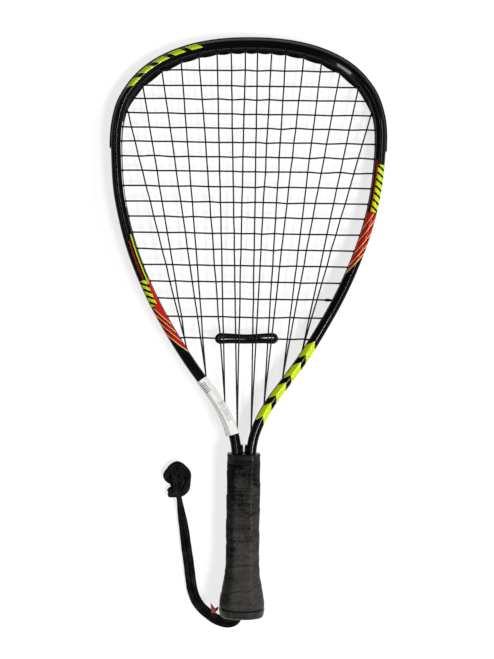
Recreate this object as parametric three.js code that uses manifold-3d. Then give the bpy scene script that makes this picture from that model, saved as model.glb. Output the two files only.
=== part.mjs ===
// A racquetball racket with a wrist lanyard, lying face up on a table. Millimetres, +Z up.
//
// The racket is drawn in its own flat frame first: x across the face, y from the butt end to the
// tip of the head, z square to the strings. It is then laid down so that it rests on its butt flare
// and on the tip of its head, which tips the string face by about a degree. The lanyard lies on the
// table beside the handle, so it is drawn in the table's frame.

import * as THREE from "three";
import { mergeVertices } from "three/addons/utils/BufferGeometryUtils.js";
import Module from "manifold-3d";

const wasm = await Module();
wasm.setup();

// Driving sizes of the whole racket
const OVERALL_LENGTH = 558.8; // 22 inches, the longest that the sport's rules allow
const HEAD_WIDTH = 266; // outside the bumper
const CROWN_HEIGHT = 92.8; // from the widest place of the head to its tip
const SEAT_GAP = 0.3; // between any two pieces that touch
const OVERRUN = 1; // how far a cutter runs past what it cuts
const SAME_POINT = 0.001; // apart at most

// Frame tube: a chamfered box section with a string groove in its outer wall
const TUBE_WIDTH = 9.6;
const TUBE_DEPTH = 20;
const TUBE_WALL = 1.4;
const TUBE_CHAMFER = 3;
const BORE_CHAMFER = 2;
const GROOVE_DEPTH = 2.4;
const GROOVE_HEIGHT = 6.8;
const TUBE_END_HEIGHT = 24; // where the two shafts end, above the butt end

// The rail is the tube's centre line: a superellipse over the head, then two Bezier curves
const BUMPER_PROUD = 1.3;
const HEAD_EXPONENT = 2.25;
const SHAFT_SPACING = 14.4; // between the two centre lines inside the handle
const SHAFT_TOP = 158; // where the shafts stop being parallel
const BEND_HALF_WIDTH = 33.1; // where the straight sides of the throat start to turn in
const BEND_HEIGHT = 219.8;
const THROAT_SLOPE = 0.73; // sideways run per unit of height, in the throat's straight stretch
const SIDE_PULL_SHARE = 0.386; // lengths of the Bezier handles, of each curve's height
const THROAT_PULL_SHARE = 0.325;
const BEND_PULL_SHARE = 0.227;
const SHAFT_PULL_SHARE = 0.405;

// Strings and the grommets that they pass through
const STRING_DIAMETER = 1.3;
const STRING_SIDES = 5;
const STRING_KNOT_RADIUS = 1.15;
const STRIP_THICKNESS = 0.8;
const BARREL_WALL = 0.6;
const BARREL_PROUD = 1.2; // how far a barrel stands inside the head
const MOUTH_BEND = 1.5; // from a barrel's mouth to where its string turns
const HEAD_HOLE_RISE = 0.5; // mains pass above the middle of the tube and crosses below it
const LOOP_RISE = 1.3; // and so do their loops outside
const STEEPEST = 0.335; // of a cross between two mains: half its rise, per unit of their distance
const GIVING_CROSSES = 2; // at the last of which the mains give way
const PAIR_RISE = 1.25; // two mains share a double barrel in each shaft
const STRIP_TAIL = 6; // past the last barrel
const MAIN_TOP_SHARES = [0.049, 0.164, 0.277, 0.423, 0.566, 0.722, 0.876, 0.992];
const LOWEST_PAIR_HEIGHT = 184;
const HIGHEST_PAIR_HEIGHT = 261;
const PAIR_SHARES = [0, 0.31818, 0.64286, 1];
const FIRST_CROSS_DROP = 30.6; // below the tip of the head
const LAST_CROSS_RISE = 8.6; // above the highest pair of mains
const CROSS_SHARES = [
  0, 0.058, 0.108, 0.162, 0.215, 0.268, 0.323, 0.377, 0.434, 0.492, 0.548, 0.608, 0.668, 0.728,
  0.789, 0.852, 0.92, 1,
];

// Bumper over the head
const BUMPER_HEIGHT = 14;
const BUMPER_CHAMFER = 1.4;
const BUMPER_LAST_CROSS = 6; // the bumper ends between this cross string and the next

// Vibration dampener: a flat rubber loop round the last cross string. The mains that it damps pass
// over it and under it in turn.
const DAMPENER_BAND = 3.4;
const DAMPENER_THICKNESS = 1.8;
const DAMPENER_ROUNDING = 0.6;
const DAMPENER_HEIGHT = 10.8;
const DAMPENER_LEFT_REACH = 2.2; // past the first and the last of those mains
const DAMPENER_RIGHT_REACH = 4.8;
const DAMPENED_MAINS = [4, 11];
const DAMPENER_CLEAR = 1; // from the loop's edge to where a main starts to settle
const DAMPENER_DIP = 0.9; // how low the last cross string is where it goes under the loop's end

// Handle: an octagon with its wide flats parallel to the strings
const CORE_WIDTH = 28;
const CORE_DEPTH = 25;
const CORE_BEVEL = 6;
const CORE_BOTTOM = 20;
const CORE_TOP = 158.8;
const GRIP_THICKNESS = 1.9;
const GRIP_TOP = 149.6;
const GRIP_LAP = 0.4;
const GRIP_PITCH = 22;
const GRIP_STEP = 4.4;
const TAPE_THICKNESS = 0.4;
const COLLAR_TOP = 159.2;
const COLLAR_THICKNESS = 1.1;
const PAD_HEIGHT = 7;
const PAD_DEPTH = 12;
const PAD_THICKNESS = 1.3;

// Butt cap. The flare swells from the grip's own half width to FLARE_HALF_WIDTH, and the rim below
// it narrows again towards the butt's end.
const RIM_HEIGHT = 6.6;
const RIM_HALF_WIDTH = 21.2;
const END_HALF_WIDTH = 16.5;
const RIM_BELLY_SHARES = [0.3, 0.53]; // of the rim's height, and of its swell above the end
const FLARE_HEIGHT = 55;
const FLARE_HALF_WIDTH = 22.4;
const FLARE_SHARES = [
  [0, 0.87],
  [0.05, 1],
  [0.153, 1],
  [0.235, 0.89],
  [0.38, 0.65],
  [0.545, 0.4],
  [0.73, 0.16],
  [1, 0],
]; // of the way up the flare, and of its swell
const CAP_TOP = 42;
const RECESS_RADIUS = 13.5;
const RECESS_DEPTH = 6;
const DOOR_THICKNESS = 2.4;
const LEDGE_RADIUS = 11;
const LEDGE_THICKNESS = 1.5;
const TACK_RADIUS = 0.8;
const TACK_HEAD_RADIUS = 1.6;
const TACK_HEAD = 0.6;
const TACK_LENGTH = 9;
const TACK_HEIGHT = 30;

// Lanyard: a doubled cord on the table, knotted at its far end
const CORD_DIAMETER = 5;
const CORD_SIDES = 8;
const CORD_STEPS = 34;
const CORD_EXIT = [-4, -4]; // across and up from the middle of the butt end
const SLOT_PLAY = 0.5;
const ANCHOR_RADII = [6.4, 3.6, 5.2];
// Where the pair of strands runs: across, along, up from lying flat, and the share of a quarter
// turn by which one strand has climbed onto the other
const LANYARD_LINE = [
  [-4.1, 4.2, 14.1, 0],
  [-4.9, 0.4, 14, 0],
  [-7.6, -3.6, 13.2, 0],
  [-12.4, -5.9, 11, 0],
  [-18.6, -6, 8.2, 0],
  [-26, -4.1, 4.8, 0],
  [-33, -0.2, 1.9, 0],
  [-39, 4.6, 0.4, 0],
  [-43.4, 10, 0, 0],
  [-46.8, 16.8, 0, 0],
  [-49.2, 24.5, 0, 0],
  [-50.6, 34, 0, 0],
  [-52.2, 46, 0, 0.05],
  [-54.7, 62.4, 0, 0.15],
  [-57, 79, 0, 0.3],
  [-59.6, 95, 0, 0.55],
  [-61.6, 107, 0, 0.85],
  [-63.2, 116.8, 0, 1],
];
const KNOT_RADIUS = 2.9;
const KNOT_SIDES = 7;
const KNOT_STEPS = 32;
const KNOT_LINE = [
  [-63.4, 122, 4.6],
  [-56.4, 125.4, 4],
  [-53.6, 134, 3.6],
  [-54.4, 142.4, 4.6],
  [-59.2, 147.8, 5.6],
  [-64.8, 149.4, 6],
  [-70.6, 145.6, 5.6],
  [-73.5, 139.6, 4.8],
  [-70.2, 136, 6.4],
  [-65.2, 140.4, 8.6],
  [-63.2, 134, 9.6],
  [-63.6, 127.6, 8.2],
];
const KNOT_CORE = [-63, 136, 5.2];
const KNOT_CORE_RADII = [8.6, 11.6, 4.9];
const KNOT_NECK = [-63.3, 121.4, 5.4];
const KNOT_NECK_RADII = [3.6, 4.2, 5.1];
const KNOT_TAIL = [
  [-64.6, 127, 5],
  [-68, 123.6, 3.6],
  [-71.2, 120.6, 2.8],
];
const KNOT_TAIL_RADIUS = 2.4;

// Label over the left shaft, and the red end of a swing tag beside the butt
const LABEL_THICKNESS = 0.25;
const LABEL_TOP = 230;
const LABEL_BOTTOM = 178;
const LABEL_SKIRT = 2.6; // how far it comes down each side of the shaft
const TAG_THICKNESS = 0.7;
const TAG_DROP = 3.5; // below the middle of the butt
const TAG_REACH = 7.5;
const TAG_HEIGHT = 10.2;
const TAG_BOTTOM = 4.2;
const TAG_SHARES = [
  [1, 1],
  [0.9, 0.04],
  [0.5, 0],
  [0, 0.34],
  [-0.01, 0.64],
  [0.4, 0.46],
]; // of its reach out from the flare, and of its height

const WIDEST_HEIGHT = OVERALL_LENGTH - CROWN_HEIGHT;
const FIRST_CROSS_HEIGHT = OVERALL_LENGTH - FIRST_CROSS_DROP;
const LAST_CROSS_HEIGHT = HIGHEST_PAIR_HEIGHT + LAST_CROSS_RISE;
const STRING_RADIUS = STRING_DIAMETER / 2;
const STRAND_SPREAD = CORD_DIAMETER / 2 + SEAT_GAP / 2;
const TUBE_HALF = TUBE_WIDTH / 2;
const RAIL_HALF_WIDTH = HEAD_WIDTH / 2 - BUMPER_PROUD - TUBE_HALF;
const RAIL_TIP = OVERALL_LENGTH - BUMPER_PROUD - TUBE_HALF;
const STRIP_FLOOR = TUBE_HALF - GROOVE_DEPTH + SEAT_GAP;
const STRIP_FACE = STRIP_FLOOR + STRIP_THICKNESS;
const STRIP_HALF = GROOVE_HEIGHT / 2 - SEAT_GAP;
const LOOP_OFFSET = STRIP_FACE + SEAT_GAP + STRING_RADIUS;
const MOUTH_OFFSET = -(TUBE_HALF + BARREL_PROUD + MOUTH_BEND);
const BORE_HALF = STRING_RADIUS + SEAT_GAP;
const BARREL_HALF = BORE_HALF + BARREL_WALL;
const HOLE_HALF = BARREL_HALF + SEAT_GAP;
const WEAVE = STRING_DIAMETER + SEAT_GAP;

// Solids

// The solid inside a closed skin. A skin whose faces point inwards is turned round.
function solidOf(points, triangles) {
  const make = (faces) =>
    new wasm.Manifold(
      new wasm.Mesh({
        numProp: 3,
        vertProperties: new Float32Array(points.flatMap((p) => [p.x, p.y, p.z])),
        triVerts: new Uint32Array(faces.flat()),
      }),
    );
  const made = make(triangles);
  return made.volume() > 0 ? made : make(triangles.map(([a, b, c]) => [a, c, b]));
}

// The solid of a three.js geometry.
function solidOfGeometry(geometry) {
  const bare = geometry.clone();
  bare.deleteAttribute("normal");
  bare.deleteAttribute("uv");
  const merged = mergeVertices(bare, SAME_POINT);
  const place = merged.attributes.position;
  const points = Array.from({ length: place.count }, (_, i) => {
    return new THREE.Vector3().fromBufferAttribute(place, i);
  });
  const index = Array.from(merged.index.array);
  const triangles = [];
  for (let i = 0; i < index.length; i += 3) triangles.push(index.slice(i, i + 3));
  return solidOf(points, triangles);
}

function geometryOf(solid) {
  const mesh = solid.getMesh();
  const geometry = new THREE.BufferGeometry();
  const places = [];
  for (let i = 0; i < mesh.numVert; i += 1) {
    places.push(...mesh.vertProperties.subarray(i * mesh.numProp, i * mesh.numProp + 3));
  }
  geometry.setAttribute("position", new THREE.Float32BufferAttribute(places, 3));
  geometry.setIndex(Array.from(mesh.triVerts));
  return geometry;
}

// Skins a row of rings that all have the outline's number of points. The ends are closed by the
// outline's own triangles, or the last ring joins the first.
function loft(rings, outline, closed = false) {
  const count = rings[0].length;
  const triangles = [];
  const spans = closed ? rings.length : rings.length - 1;
  for (let r = 0; r < spans; r += 1) {
    const here = r * count;
    const next = ((r + 1) % rings.length) * count;
    for (let i = 0; i < count; i += 1) {
      const j = (i + 1) % count;
      triangles.push([here + i, here + j, next + j], [here + i, next + j, next + i]);
    }
  }
  if (!closed) {
    const last = (rings.length - 1) * count;
    for (const [a, b, c] of THREE.ShapeUtils.triangulateShape(outline, [])) {
      triangles.push([a, c, b], [last + a, last + b, last + c]);
    }
  }
  return solidOf(rings.flat(), triangles);
}

function circleOutline(sides) {
  return Array.from({ length: sides }, (_, i) => {
    const turn = (i / sides) * 2 * Math.PI;
    return new THREE.Vector2(Math.cos(turn), Math.sin(turn));
  });
}

// A round tube along straight pieces, mitred where they meet: each ring lies in the plane that
// halves the bend, so that every piece keeps its full section.
function tubeAlong(points, radius, sides, closed = false) {
  const count = points.length;
  const direction = (i) => {
    const from = points[(i + count) % count];
    return points[(i + 1 + count) % count].clone().sub(from).normalize();
  };
  const ahead = (i) => (closed || i < count - 1 ? direction(i) : direction(count - 2));
  const behind = (i) => (closed || i > 0 ? direction(i - 1) : direction(0));
  const first = behind(0);
  const steepShare = 0.9;
  const steep = Math.abs(first.z) > steepShare;
  const up = steep ? new THREE.Vector3(1, 0, 0) : new THREE.Vector3(0, 0, 1);
  const side = new THREE.Vector3().crossVectors(first, up).normalize();
  const rise = new THREE.Vector3().crossVectors(side, first);
  const outline = circleOutline(sides);
  let ring = outline.map(({ x, y }) => {
    const across = side.clone().multiplyScalar(x * radius);
    return points[0].clone().add(across).addScaledVector(rise, y * radius);
  });
  const rings = [];
  for (let i = 0; i < count; i += 1) {
    const along = behind(i);
    const halving = along.clone().add(ahead(i)).normalize();
    ring = ring.map((p) => {
      const reach = points[i].clone().sub(p).dot(halving) / along.dot(halving);
      return p.clone().addScaledVector(along, reach);
    });
    rings.push(ring);
  }
  return loft(rings, outline, closed);
}

// The rail

// Points close together along the right half of the rail, from the tip to the end of the shaft.
function railPoints() {
  const quarterSteps = 300;
  const curveSteps = 150;
  const points = [];
  const height = RAIL_TIP - WIDEST_HEIGHT;
  for (let i = 0; i <= quarterSteps; i += 1) {
    const turn = ((i / quarterSteps) * Math.PI) / 2;
    const across = Math.max(0, Math.sin(turn)) ** (2 / HEAD_EXPONENT);
    const up = Math.max(0, Math.cos(turn)) ** (2 / HEAD_EXPONENT);
    points.push(new THREE.Vector2(RAIL_HALF_WIDTH * across, WIDEST_HEIGHT + height * up));
  }
  const widest = points.at(-1);
  const bend = new THREE.Vector2(BEND_HALF_WIDTH, BEND_HEIGHT);
  const shaft = new THREE.Vector2(SHAFT_SPACING / 2, SHAFT_TOP);
  const sideHeight = widest.y - bend.y;
  const bendHeight = bend.y - shaft.y;
  const throat = new THREE.Vector2(THROAT_SLOPE, 1);
  const side = new THREE.CubicBezierCurve(
    widest,
    new THREE.Vector2(widest.x, widest.y - sideHeight * SIDE_PULL_SHARE),
    bend.clone().addScaledVector(throat, sideHeight * THROAT_PULL_SHARE),
    bend,
  );
  const turnIn = new THREE.CubicBezierCurve(
    bend,
    bend.clone().addScaledVector(throat, -bendHeight * BEND_PULL_SHARE),
    new THREE.Vector2(shaft.x, shaft.y + bendHeight * SHAFT_PULL_SHARE),
    shaft,
  );
  points.push(...side.getPoints(curveSteps).slice(1), ...turnIn.getPoints(curveSteps).slice(1));
  points.push(new THREE.Vector2(shaft.x, TUBE_END_HEIGHT));
  return points;
}

const RAIL = railPoints();
const RAIL_DISTANCES = RAIL.reduce((all, p, i) => {
  all.push(i ? all[i - 1] + p.distanceTo(RAIL[i - 1]) : 0);
  return all;
}, []);
const RAIL_LENGTH = RAIL_DISTANCES.at(-1);

// The place on the rail at a distance from the tip, which is negative on the left half, with the
// outward direction and the direction of growing distance.
function railAt(distance) {
  const mirror = distance < 0 ? -1 : 1;
  const reach = Math.min(Math.abs(distance), RAIL_LENGTH);
  const last = RAIL.length - 2;
  const found = RAIL_DISTANCES.findIndex((d) => d >= reach) - 1;
  const i = Math.min(Math.max(found, 0), last);
  const share = (reach - RAIL_DISTANCES[i]) / (RAIL_DISTANCES[i + 1] - RAIL_DISTANCES[i]);
  const point = RAIL[i].clone().lerp(RAIL[i + 1], share);
  const along = RAIL[Math.min(i + 2, last + 1)].clone().sub(RAIL[Math.max(i - 1, 0)]).normalize();
  if (reach === 0) along.set(1, 0);
  return {
    point: new THREE.Vector3(mirror * point.x, point.y, 0),
    outward: new THREE.Vector3(mirror * -along.y, along.x, 0),
    along: new THREE.Vector3(along.x, mirror * along.y, 0),
  };
}

// A point out from the rail by offset and up from the string plane by z.
function offRail(distance, offset, z) {
  const { point, outward } = railAt(distance);
  return point.clone().addScaledVector(outward, offset).setZ(z);
}

// The distance, between two others, at which a measure of the rail falls or rises to a value.
function railWhere(measure, value, low, high) {
  const steps = 50;
  const rising = measure(high) > measure(low);
  let [from, to] = [low, high];
  for (let i = 0; i < steps; i += 1) {
    const middle = (from + to) / 2;
    if (measure(middle) < value === rising) from = middle;
    else to = middle;
  }
  return (from + to) / 2;
}

const mouthX = (distance) => offRail(distance, MOUTH_OFFSET, 0).x;
const mouthY = (distance) => offRail(distance, MOUTH_OFFSET, 0).y;
const WIDEST_DISTANCE = railWhere((d) => -railAt(d).point.y, -WIDEST_HEIGHT, 0, RAIL_LENGTH);
const SHAFT_DISTANCE = railWhere((d) => -railAt(d).point.y, -SHAFT_TOP, 0, RAIL_LENGTH);

// Every string hole, as a distance along the rail. Mains are numbered from the middle outwards and
// crosses from the tip down; both halves of the head are alike.
const MAIN_TOPS = MAIN_TOP_SHARES.map((share) => {
  return railWhere(mouthX, share * mouthX(WIDEST_DISTANCE), 0, WIDEST_DISTANCE);
});
const PAIRS = PAIR_SHARES.map((share) => {
  const height = LOWEST_PAIR_HEIGHT + (HIGHEST_PAIR_HEIGHT - LOWEST_PAIR_HEIGHT) * share;
  return railWhere((d) => -mouthY(d), -height, WIDEST_DISTANCE, SHAFT_DISTANCE);
});
const CROSS_HEIGHTS = CROSS_SHARES.map((share) => {
  return FIRST_CROSS_HEIGHT + (LAST_CROSS_HEIGHT - FIRST_CROSS_HEIGHT) * share;
});
const CROSSES = CROSS_HEIGHTS.map((height) => {
  return railWhere((d) => -mouthY(d), -height, 0, SHAFT_DISTANCE);
});
const BUMPER_END = (CROSSES[BUMPER_LAST_CROSS - 1] + CROSSES[BUMPER_LAST_CROSS]) / 2;

// Where the tube has its rings. What lies along the tube uses the same places, so that its flats
// stay parallel to the tube's.
function ringDistances() {
  const headRings = 12;
  const sideRings = 9;
  const bendRings = 7;
  const bendDistance = railWhere((d) => -railAt(d).point.y, -BEND_HEIGHT, 0, RAIL_LENGTH);
  const half = [];
  const spread = (from, to, count) => {
    for (let i = 1; i <= count; i += 1) half.push(from + ((to - from) * i) / count);
  };
  spread(0, WIDEST_DISTANCE, headRings);
  spread(WIDEST_DISTANCE, bendDistance, sideRings);
  spread(bendDistance, SHAFT_DISTANCE, bendRings);
  half.push(RAIL_LENGTH);
  return [...half.map((d) => -d).reverse(), 0, ...half];
}

const RINGS = ringDistances();

// Sweeps a section of (out, up) points along the rail between two distances.
function sweep(section, from, to) {
  const places = [from, ...RINGS.filter((d) => d > from && d < to), to];
  return loft(
    places.map((d) => section.map(({ x, y }) => offRail(d, x, y))),
    section,
  );
}

const points2 = (pairs) => pairs.map(([x, y]) => new THREE.Vector2(x, y));

// A block along a hole's line: from one offset to another, with half its size along the rail and
// half its size up.
function holeBlock(distance, z, from, to, halfAlong, halfUp) {
  const { along } = railAt(distance);
  const corners = [
    [-1, -1],
    [1, -1],
    [1, 1],
    [-1, 1],
  ];
  const ring = (offset) =>
    corners.map(([x, y]) => {
      const corner = offRail(distance, offset, z + y * halfUp);
      return corner.addScaledVector(along, x * halfAlong);
    });
  return loft([ring(from), ring(to)], points2(corners));
}

// Frame

const HEAD_HOLES = [
  ...MAIN_TOPS.map((d) => ({ d, z: HEAD_HOLE_RISE, pair: false })),
  ...CROSSES.map((d) => ({ d, z: -HEAD_HOLE_RISE, pair: false })),
  ...PAIRS.map((d) => ({ d, z: 0, pair: true })),
];
const HOLES = HEAD_HOLES.flatMap((hole) => [hole, { ...hole, d: -hole.d }]);

// The rows of bores in one hole: one, or two stacked where a pair of mains shares it.
const boreHeights = ({ z, pair }) => (pair ? [-PAIR_RISE, PAIR_RISE] : [z]);
const holeHalfUp = (hole, half) => half + (hole.pair ? PAIR_RISE : 0);

function frameTube() {
  const deep = TUBE_DEPTH / 2;
  const groove = GROOVE_HEIGHT / 2;
  const cut = TUBE_CHAMFER;
  const floor = TUBE_HALF - GROOVE_DEPTH;
  const outside = points2([
    [TUBE_HALF, groove],
    [TUBE_HALF, deep - cut],
    [TUBE_HALF - cut, deep],
    [cut - TUBE_HALF, deep],
    [-TUBE_HALF, deep - cut],
    [-TUBE_HALF, cut - deep],
    [cut - TUBE_HALF, -deep],
    [TUBE_HALF - cut, -deep],
    [TUBE_HALF, cut - deep],
    [TUBE_HALF, -groove],
    [floor, -groove],
    [floor, groove],
  ]);
  const inner = TUBE_WALL - TUBE_HALF;
  const outer = floor - TUBE_WALL;
  const top = deep - TUBE_WALL;
  const bore = points2([
    [outer, top - BORE_CHAMFER],
    [outer - BORE_CHAMFER, top],
    [inner + BORE_CHAMFER, top],
    [inner, top - BORE_CHAMFER],
    [inner, BORE_CHAMFER - top],
    [inner + BORE_CHAMFER, -top],
    [outer - BORE_CHAMFER, -top],
    [outer, BORE_CHAMFER - top],
  ]);
  const end = RAIL_LENGTH;
  // The bore's two ends are drawn out past the tube's, so that the tube is open at both.
  const hollow = loft(
    RINGS.map((d) => {
      const past = Math.abs(d) === end ? OVERRUN : 0;
      return bore.map(({ x, y }) => offRail(d, x, y).add(new THREE.Vector3(0, -past, 0)));
    }),
    bore,
  );
  const cutters = HOLES.map((hole) => {
    const reach = TUBE_HALF + OVERRUN;
    return holeBlock(hole.d, hole.z, -reach, reach, HOLE_HALF, holeHalfUp(hole, HOLE_HALF));
  });
  return loft(
    RINGS.map((d) => outside.map(({ x, y }) => offRail(d, x, y))),
    outside,
  )
    .subtract(hollow)
    .subtract(wasm.Manifold.union(cutters));
}

// A strip in the string groove with a barrel through the tube at each of its holes.
function grommetStrip(section, from, to) {
  const holes = HOLES.filter(({ d }) => d > from && d < to);
  const barrels = holes.map((hole) => {
    const inside = -TUBE_HALF - BARREL_PROUD;
    const seat = STRIP_FLOOR + STRIP_THICKNESS / 2;
    return holeBlock(hole.d, hole.z, inside, seat, BARREL_HALF, holeHalfUp(hole, BARREL_HALF));
  });
  const bores = holes.flatMap((hole) =>
    boreHeights(hole).map((z) => {
      const reach = TUBE_HALF + BARREL_PROUD + OVERRUN;
      return holeBlock(hole.d, z, -reach, reach, BORE_HALF, BORE_HALF);
    }),
  );
  return sweep(section, from, to)
    .add(wasm.Manifold.union(barrels))
    .subtract(wasm.Manifold.union(bores));
}

// The bumper is the head's own strip, with a channel for the strings and a flange on both sides.
function bumper() {
  const face = TUBE_HALF + BUMPER_PROUD;
  const flange = TUBE_HALF + SEAT_GAP;
  const edge = BUMPER_HEIGHT / 2;
  const channel = LOOP_RISE + STRING_RADIUS + SEAT_GAP;
  const upper = [
    [face, channel],
    [face, edge - BUMPER_CHAMFER],
    [flange, edge],
    [flange, STRIP_HALF],
    [STRIP_FLOOR, STRIP_HALF],
  ];
  const lower = upper.map(([x, y]) => [x, -y]).reverse();
  const channelFloor = [
    [STRIP_FACE, -channel],
    [STRIP_FACE, channel],
  ];
  const section = points2([...upper, ...lower, ...channelFloor]);
  return grommetStrip(section, -BUMPER_END, BUMPER_END);
}

function lowerStrip(side) {
  const section = points2([
    [STRIP_FACE, STRIP_HALF],
    [STRIP_FLOOR, STRIP_HALF],
    [STRIP_FLOOR, -STRIP_HALF],
    [STRIP_FACE, -STRIP_HALF],
  ]);
  const start = BUMPER_END + SEAT_GAP;
  const end = PAIRS[0] + STRIP_TAIL;
  return side < 0 ? grommetStrip(section, -end, -start) : grommetStrip(section, start, end);
}

// Strings

// Mains from left to right: where each one turns at its top and at its bottom. From the middle
// outwards, the first two go to the lowest pair of holes, the next two to the next, and so on.
const MAINS = [-1, 1].flatMap((side) => {
  const half = MAIN_TOPS.map((distance, i) => {
    const pair = PAIRS[Math.floor(i / 2)];
    return { top: side * distance, bottom: side * pair };
  });
  return side < 0 ? half.reverse() : half;
});
MAINS.forEach((main, i) => {
  main.bottomRise = i % 2 ? PAIR_RISE : -PAIR_RISE;
  main.topMouth = offRail(main.top, MOUTH_OFFSET, HEAD_HOLE_RISE);
  main.bottomMouth = offRail(main.bottom, MOUTH_OFFSET, main.bottomRise);
});

// Where a main is at a height, or nothing where it doesn't reach.
function mainAcross({ topMouth, bottomMouth }, height) {
  const share = (topMouth.y - height) / (topMouth.y - bottomMouth.y);
  return share > 0 && share < 1 ? THREE.MathUtils.lerp(topMouth.x, bottomMouth.x, share) : null;
}

const DAMPENER_RISE = DAMPENER_THICKNESS / 2 + STRING_RADIUS + SEAT_GAP;
const isDampened = (i) => i >= DAMPENED_MAINS[0] && i <= DAMPENED_MAINS[1];
const dampenedRise = (i) => (i % 2 ? DAMPENER_RISE : -DAMPENER_RISE);

// The points of a loop outside the tube, between the ends of two holes.
function outsideLoop(from, to, z) {
  const loopShares = [0.1, 0.5, 0.9];
  return loopShares.map((share) => offRail(from + (to - from) * share, LOOP_OFFSET, z));
}

const KNOT_OFFSET = STRIP_FACE + SEAT_GAP + STRING_KNOT_RADIUS;

function stopperKnot(distance, z) {
  const widthSegments = 7;
  const heightSegments = 5;
  const { x, y } = offRail(distance, KNOT_OFFSET, z);
  const ball = new THREE.SphereGeometry(STRING_KNOT_RADIUS, widthSegments, heightSegments);
  return solidOfGeometry(ball.translate(x, y, z));
}

// How far a cross is above a main where they meet. Low down, where the two mains of a pair are
// close together, each main gives way to keep the cross from turning too sharply.
function meeting(i, j) {
  const over = (i + j) % 2 ? 1 : -1;
  const [x, partner] = [i, i ^ 1].map((k) => mainAcross(MAINS[k], CROSS_HEIGHTS[j]));
  const apart = x === null || partner === null ? WEAVE / STEEPEST : Math.abs(x - partner);
  const given = Math.max(0, WEAVE - STEEPEST * apart);
  return { x, main: -over * given, cross: over * (WEAVE - given) };
}

// A main from its top to its bottom. It is pushed up or down where it passes the dampener.
function mainSpan(main, i) {
  const place = (y, z) => new THREE.Vector3(mainAcross(main, y), y, z);
  const first = CROSS_HEIGHTS.findIndex((height) => mainAcross(main, height) !== null);
  const last = CROSS_HEIGHTS.length - 1;
  const level = last - GIVING_CROSSES;
  const bed = [place(CROSS_HEIGHTS[first], 0), place(CROSS_HEIGHTS[level], 0)];
  for (let j = level + 1; j < last; j += 1) bed.push(place(CROSS_HEIGHTS[j], meeting(i, j).main));
  if (isDampened(i)) {
    const reach = DAMPENER_HEIGHT / 2 + DAMPENER_CLEAR;
    bed.push(place(LAST_CROSS_HEIGHT + reach, dampenedRise(i)));
    bed.push(place(LAST_CROSS_HEIGHT - reach, dampenedRise(i)));
  } else {
    bed.push(place(LAST_CROSS_HEIGHT, meeting(i, last).main));
  }
  return [main.topMouth, ...bed, main.bottomMouth];
}

// One string makes all the mains: down one and up its neighbour, with a turn outside the shaft
// between the two and a loop over the head to the next two. A knot outside stops each end.
function mainString() {
  const points = [];
  MAINS.forEach((main, i) => {
    const isEnd = i === 0 || i === MAINS.length - 1;
    const down = [
      offRail(main.top, isEnd ? KNOT_OFFSET : LOOP_OFFSET, HEAD_HOLE_RISE),
      ...mainSpan(main, i),
      offRail(main.bottom, LOOP_OFFSET, main.bottomRise),
    ];
    points.push(...(i % 2 ? down.reverse() : down));
    if (i % 2 && !isEnd) points.push(...outsideLoop(main.top, MAINS[i + 1].top, LOOP_RISE));
  });
  const knots = [MAINS[0], MAINS.at(-1)].map(({ top }) => stopperKnot(top, HEAD_HOLE_RISE));
  return wasm.Manifold.union([tubeAlong(points, STRING_RADIUS, STRING_SIDES), ...knots]);
}

// The dampener's outer edges, from the mains that it damps.
const DAMPENER_EDGES = [
  mainAcross(MAINS[DAMPENED_MAINS[0]], LAST_CROSS_HEIGHT) - DAMPENER_LEFT_REACH,
  mainAcross(MAINS[DAMPENED_MAINS[1]], LAST_CROSS_HEIGHT) + DAMPENER_RIGHT_REACH,
];

// A cross from left to right, over and under the mains in turn.
function crossSpan(j) {
  const y = CROSS_HEIGHTS[j];
  const isLast = j === CROSS_HEIGHTS.length - 1;
  const [left, right] = DAMPENER_EDGES;
  const band = DAMPENER_BAND;
  const bends = [];
  MAINS.forEach((main, i) => {
    const { x, cross } = meeting(i, j);
    if (x === null) return;
    if (!isLast || !isDampened(i)) bends.push([x, cross]);
    else if (i === DAMPENED_MAINS[1]) bends.push([x, -DAMPENER_DIP]);
    else if (i !== DAMPENED_MAINS[0]) bends.push([x, Math.sign(cross) * (WEAVE - DAMPENER_RISE)]);
  });
  if (isLast) {
    bends.push([left + band / 2, DAMPENER_RISE], [left + band - DAMPENER_ROUNDING, DAMPENER_RISE]);
    bends.push([right - band, -DAMPENER_RISE], [right, -DAMPENER_RISE]);
    bends.sort((a, b) => a[0] - b[0]);
  }
  return bends.map(([x, z]) => new THREE.Vector3(x, y, z));
}

// One string makes all the crosses, from the tip down, with a loop outside the head between each
// cross and the next.
function crossString() {
  const points = [];
  CROSSES.forEach((distance, j) => {
    const last = j === CROSSES.length - 1;
    const end = (side, offset) => offRail(side * distance, offset, -HEAD_HOLE_RISE);
    const across = [
      end(-1, j === 0 || last ? KNOT_OFFSET : LOOP_OFFSET),
      end(-1, MOUTH_OFFSET),
      ...crossSpan(j),
      end(1, MOUTH_OFFSET),
      end(1, LOOP_OFFSET),
    ];
    points.push(...(j % 2 ? across.reverse() : across));
    const side = j % 2 ? -1 : 1;
    if (!last) points.push(...outsideLoop(side * distance, side * CROSSES[j + 1], -LOOP_RISE));
  });
  const ends = [CROSSES[0], CROSSES.at(-1)].map((d) => stopperKnot(-d, -HEAD_HOLE_RISE));
  return wasm.Manifold.union([tubeAlong(points, STRING_RADIUS, STRING_SIDES), ...ends]);
}

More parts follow.
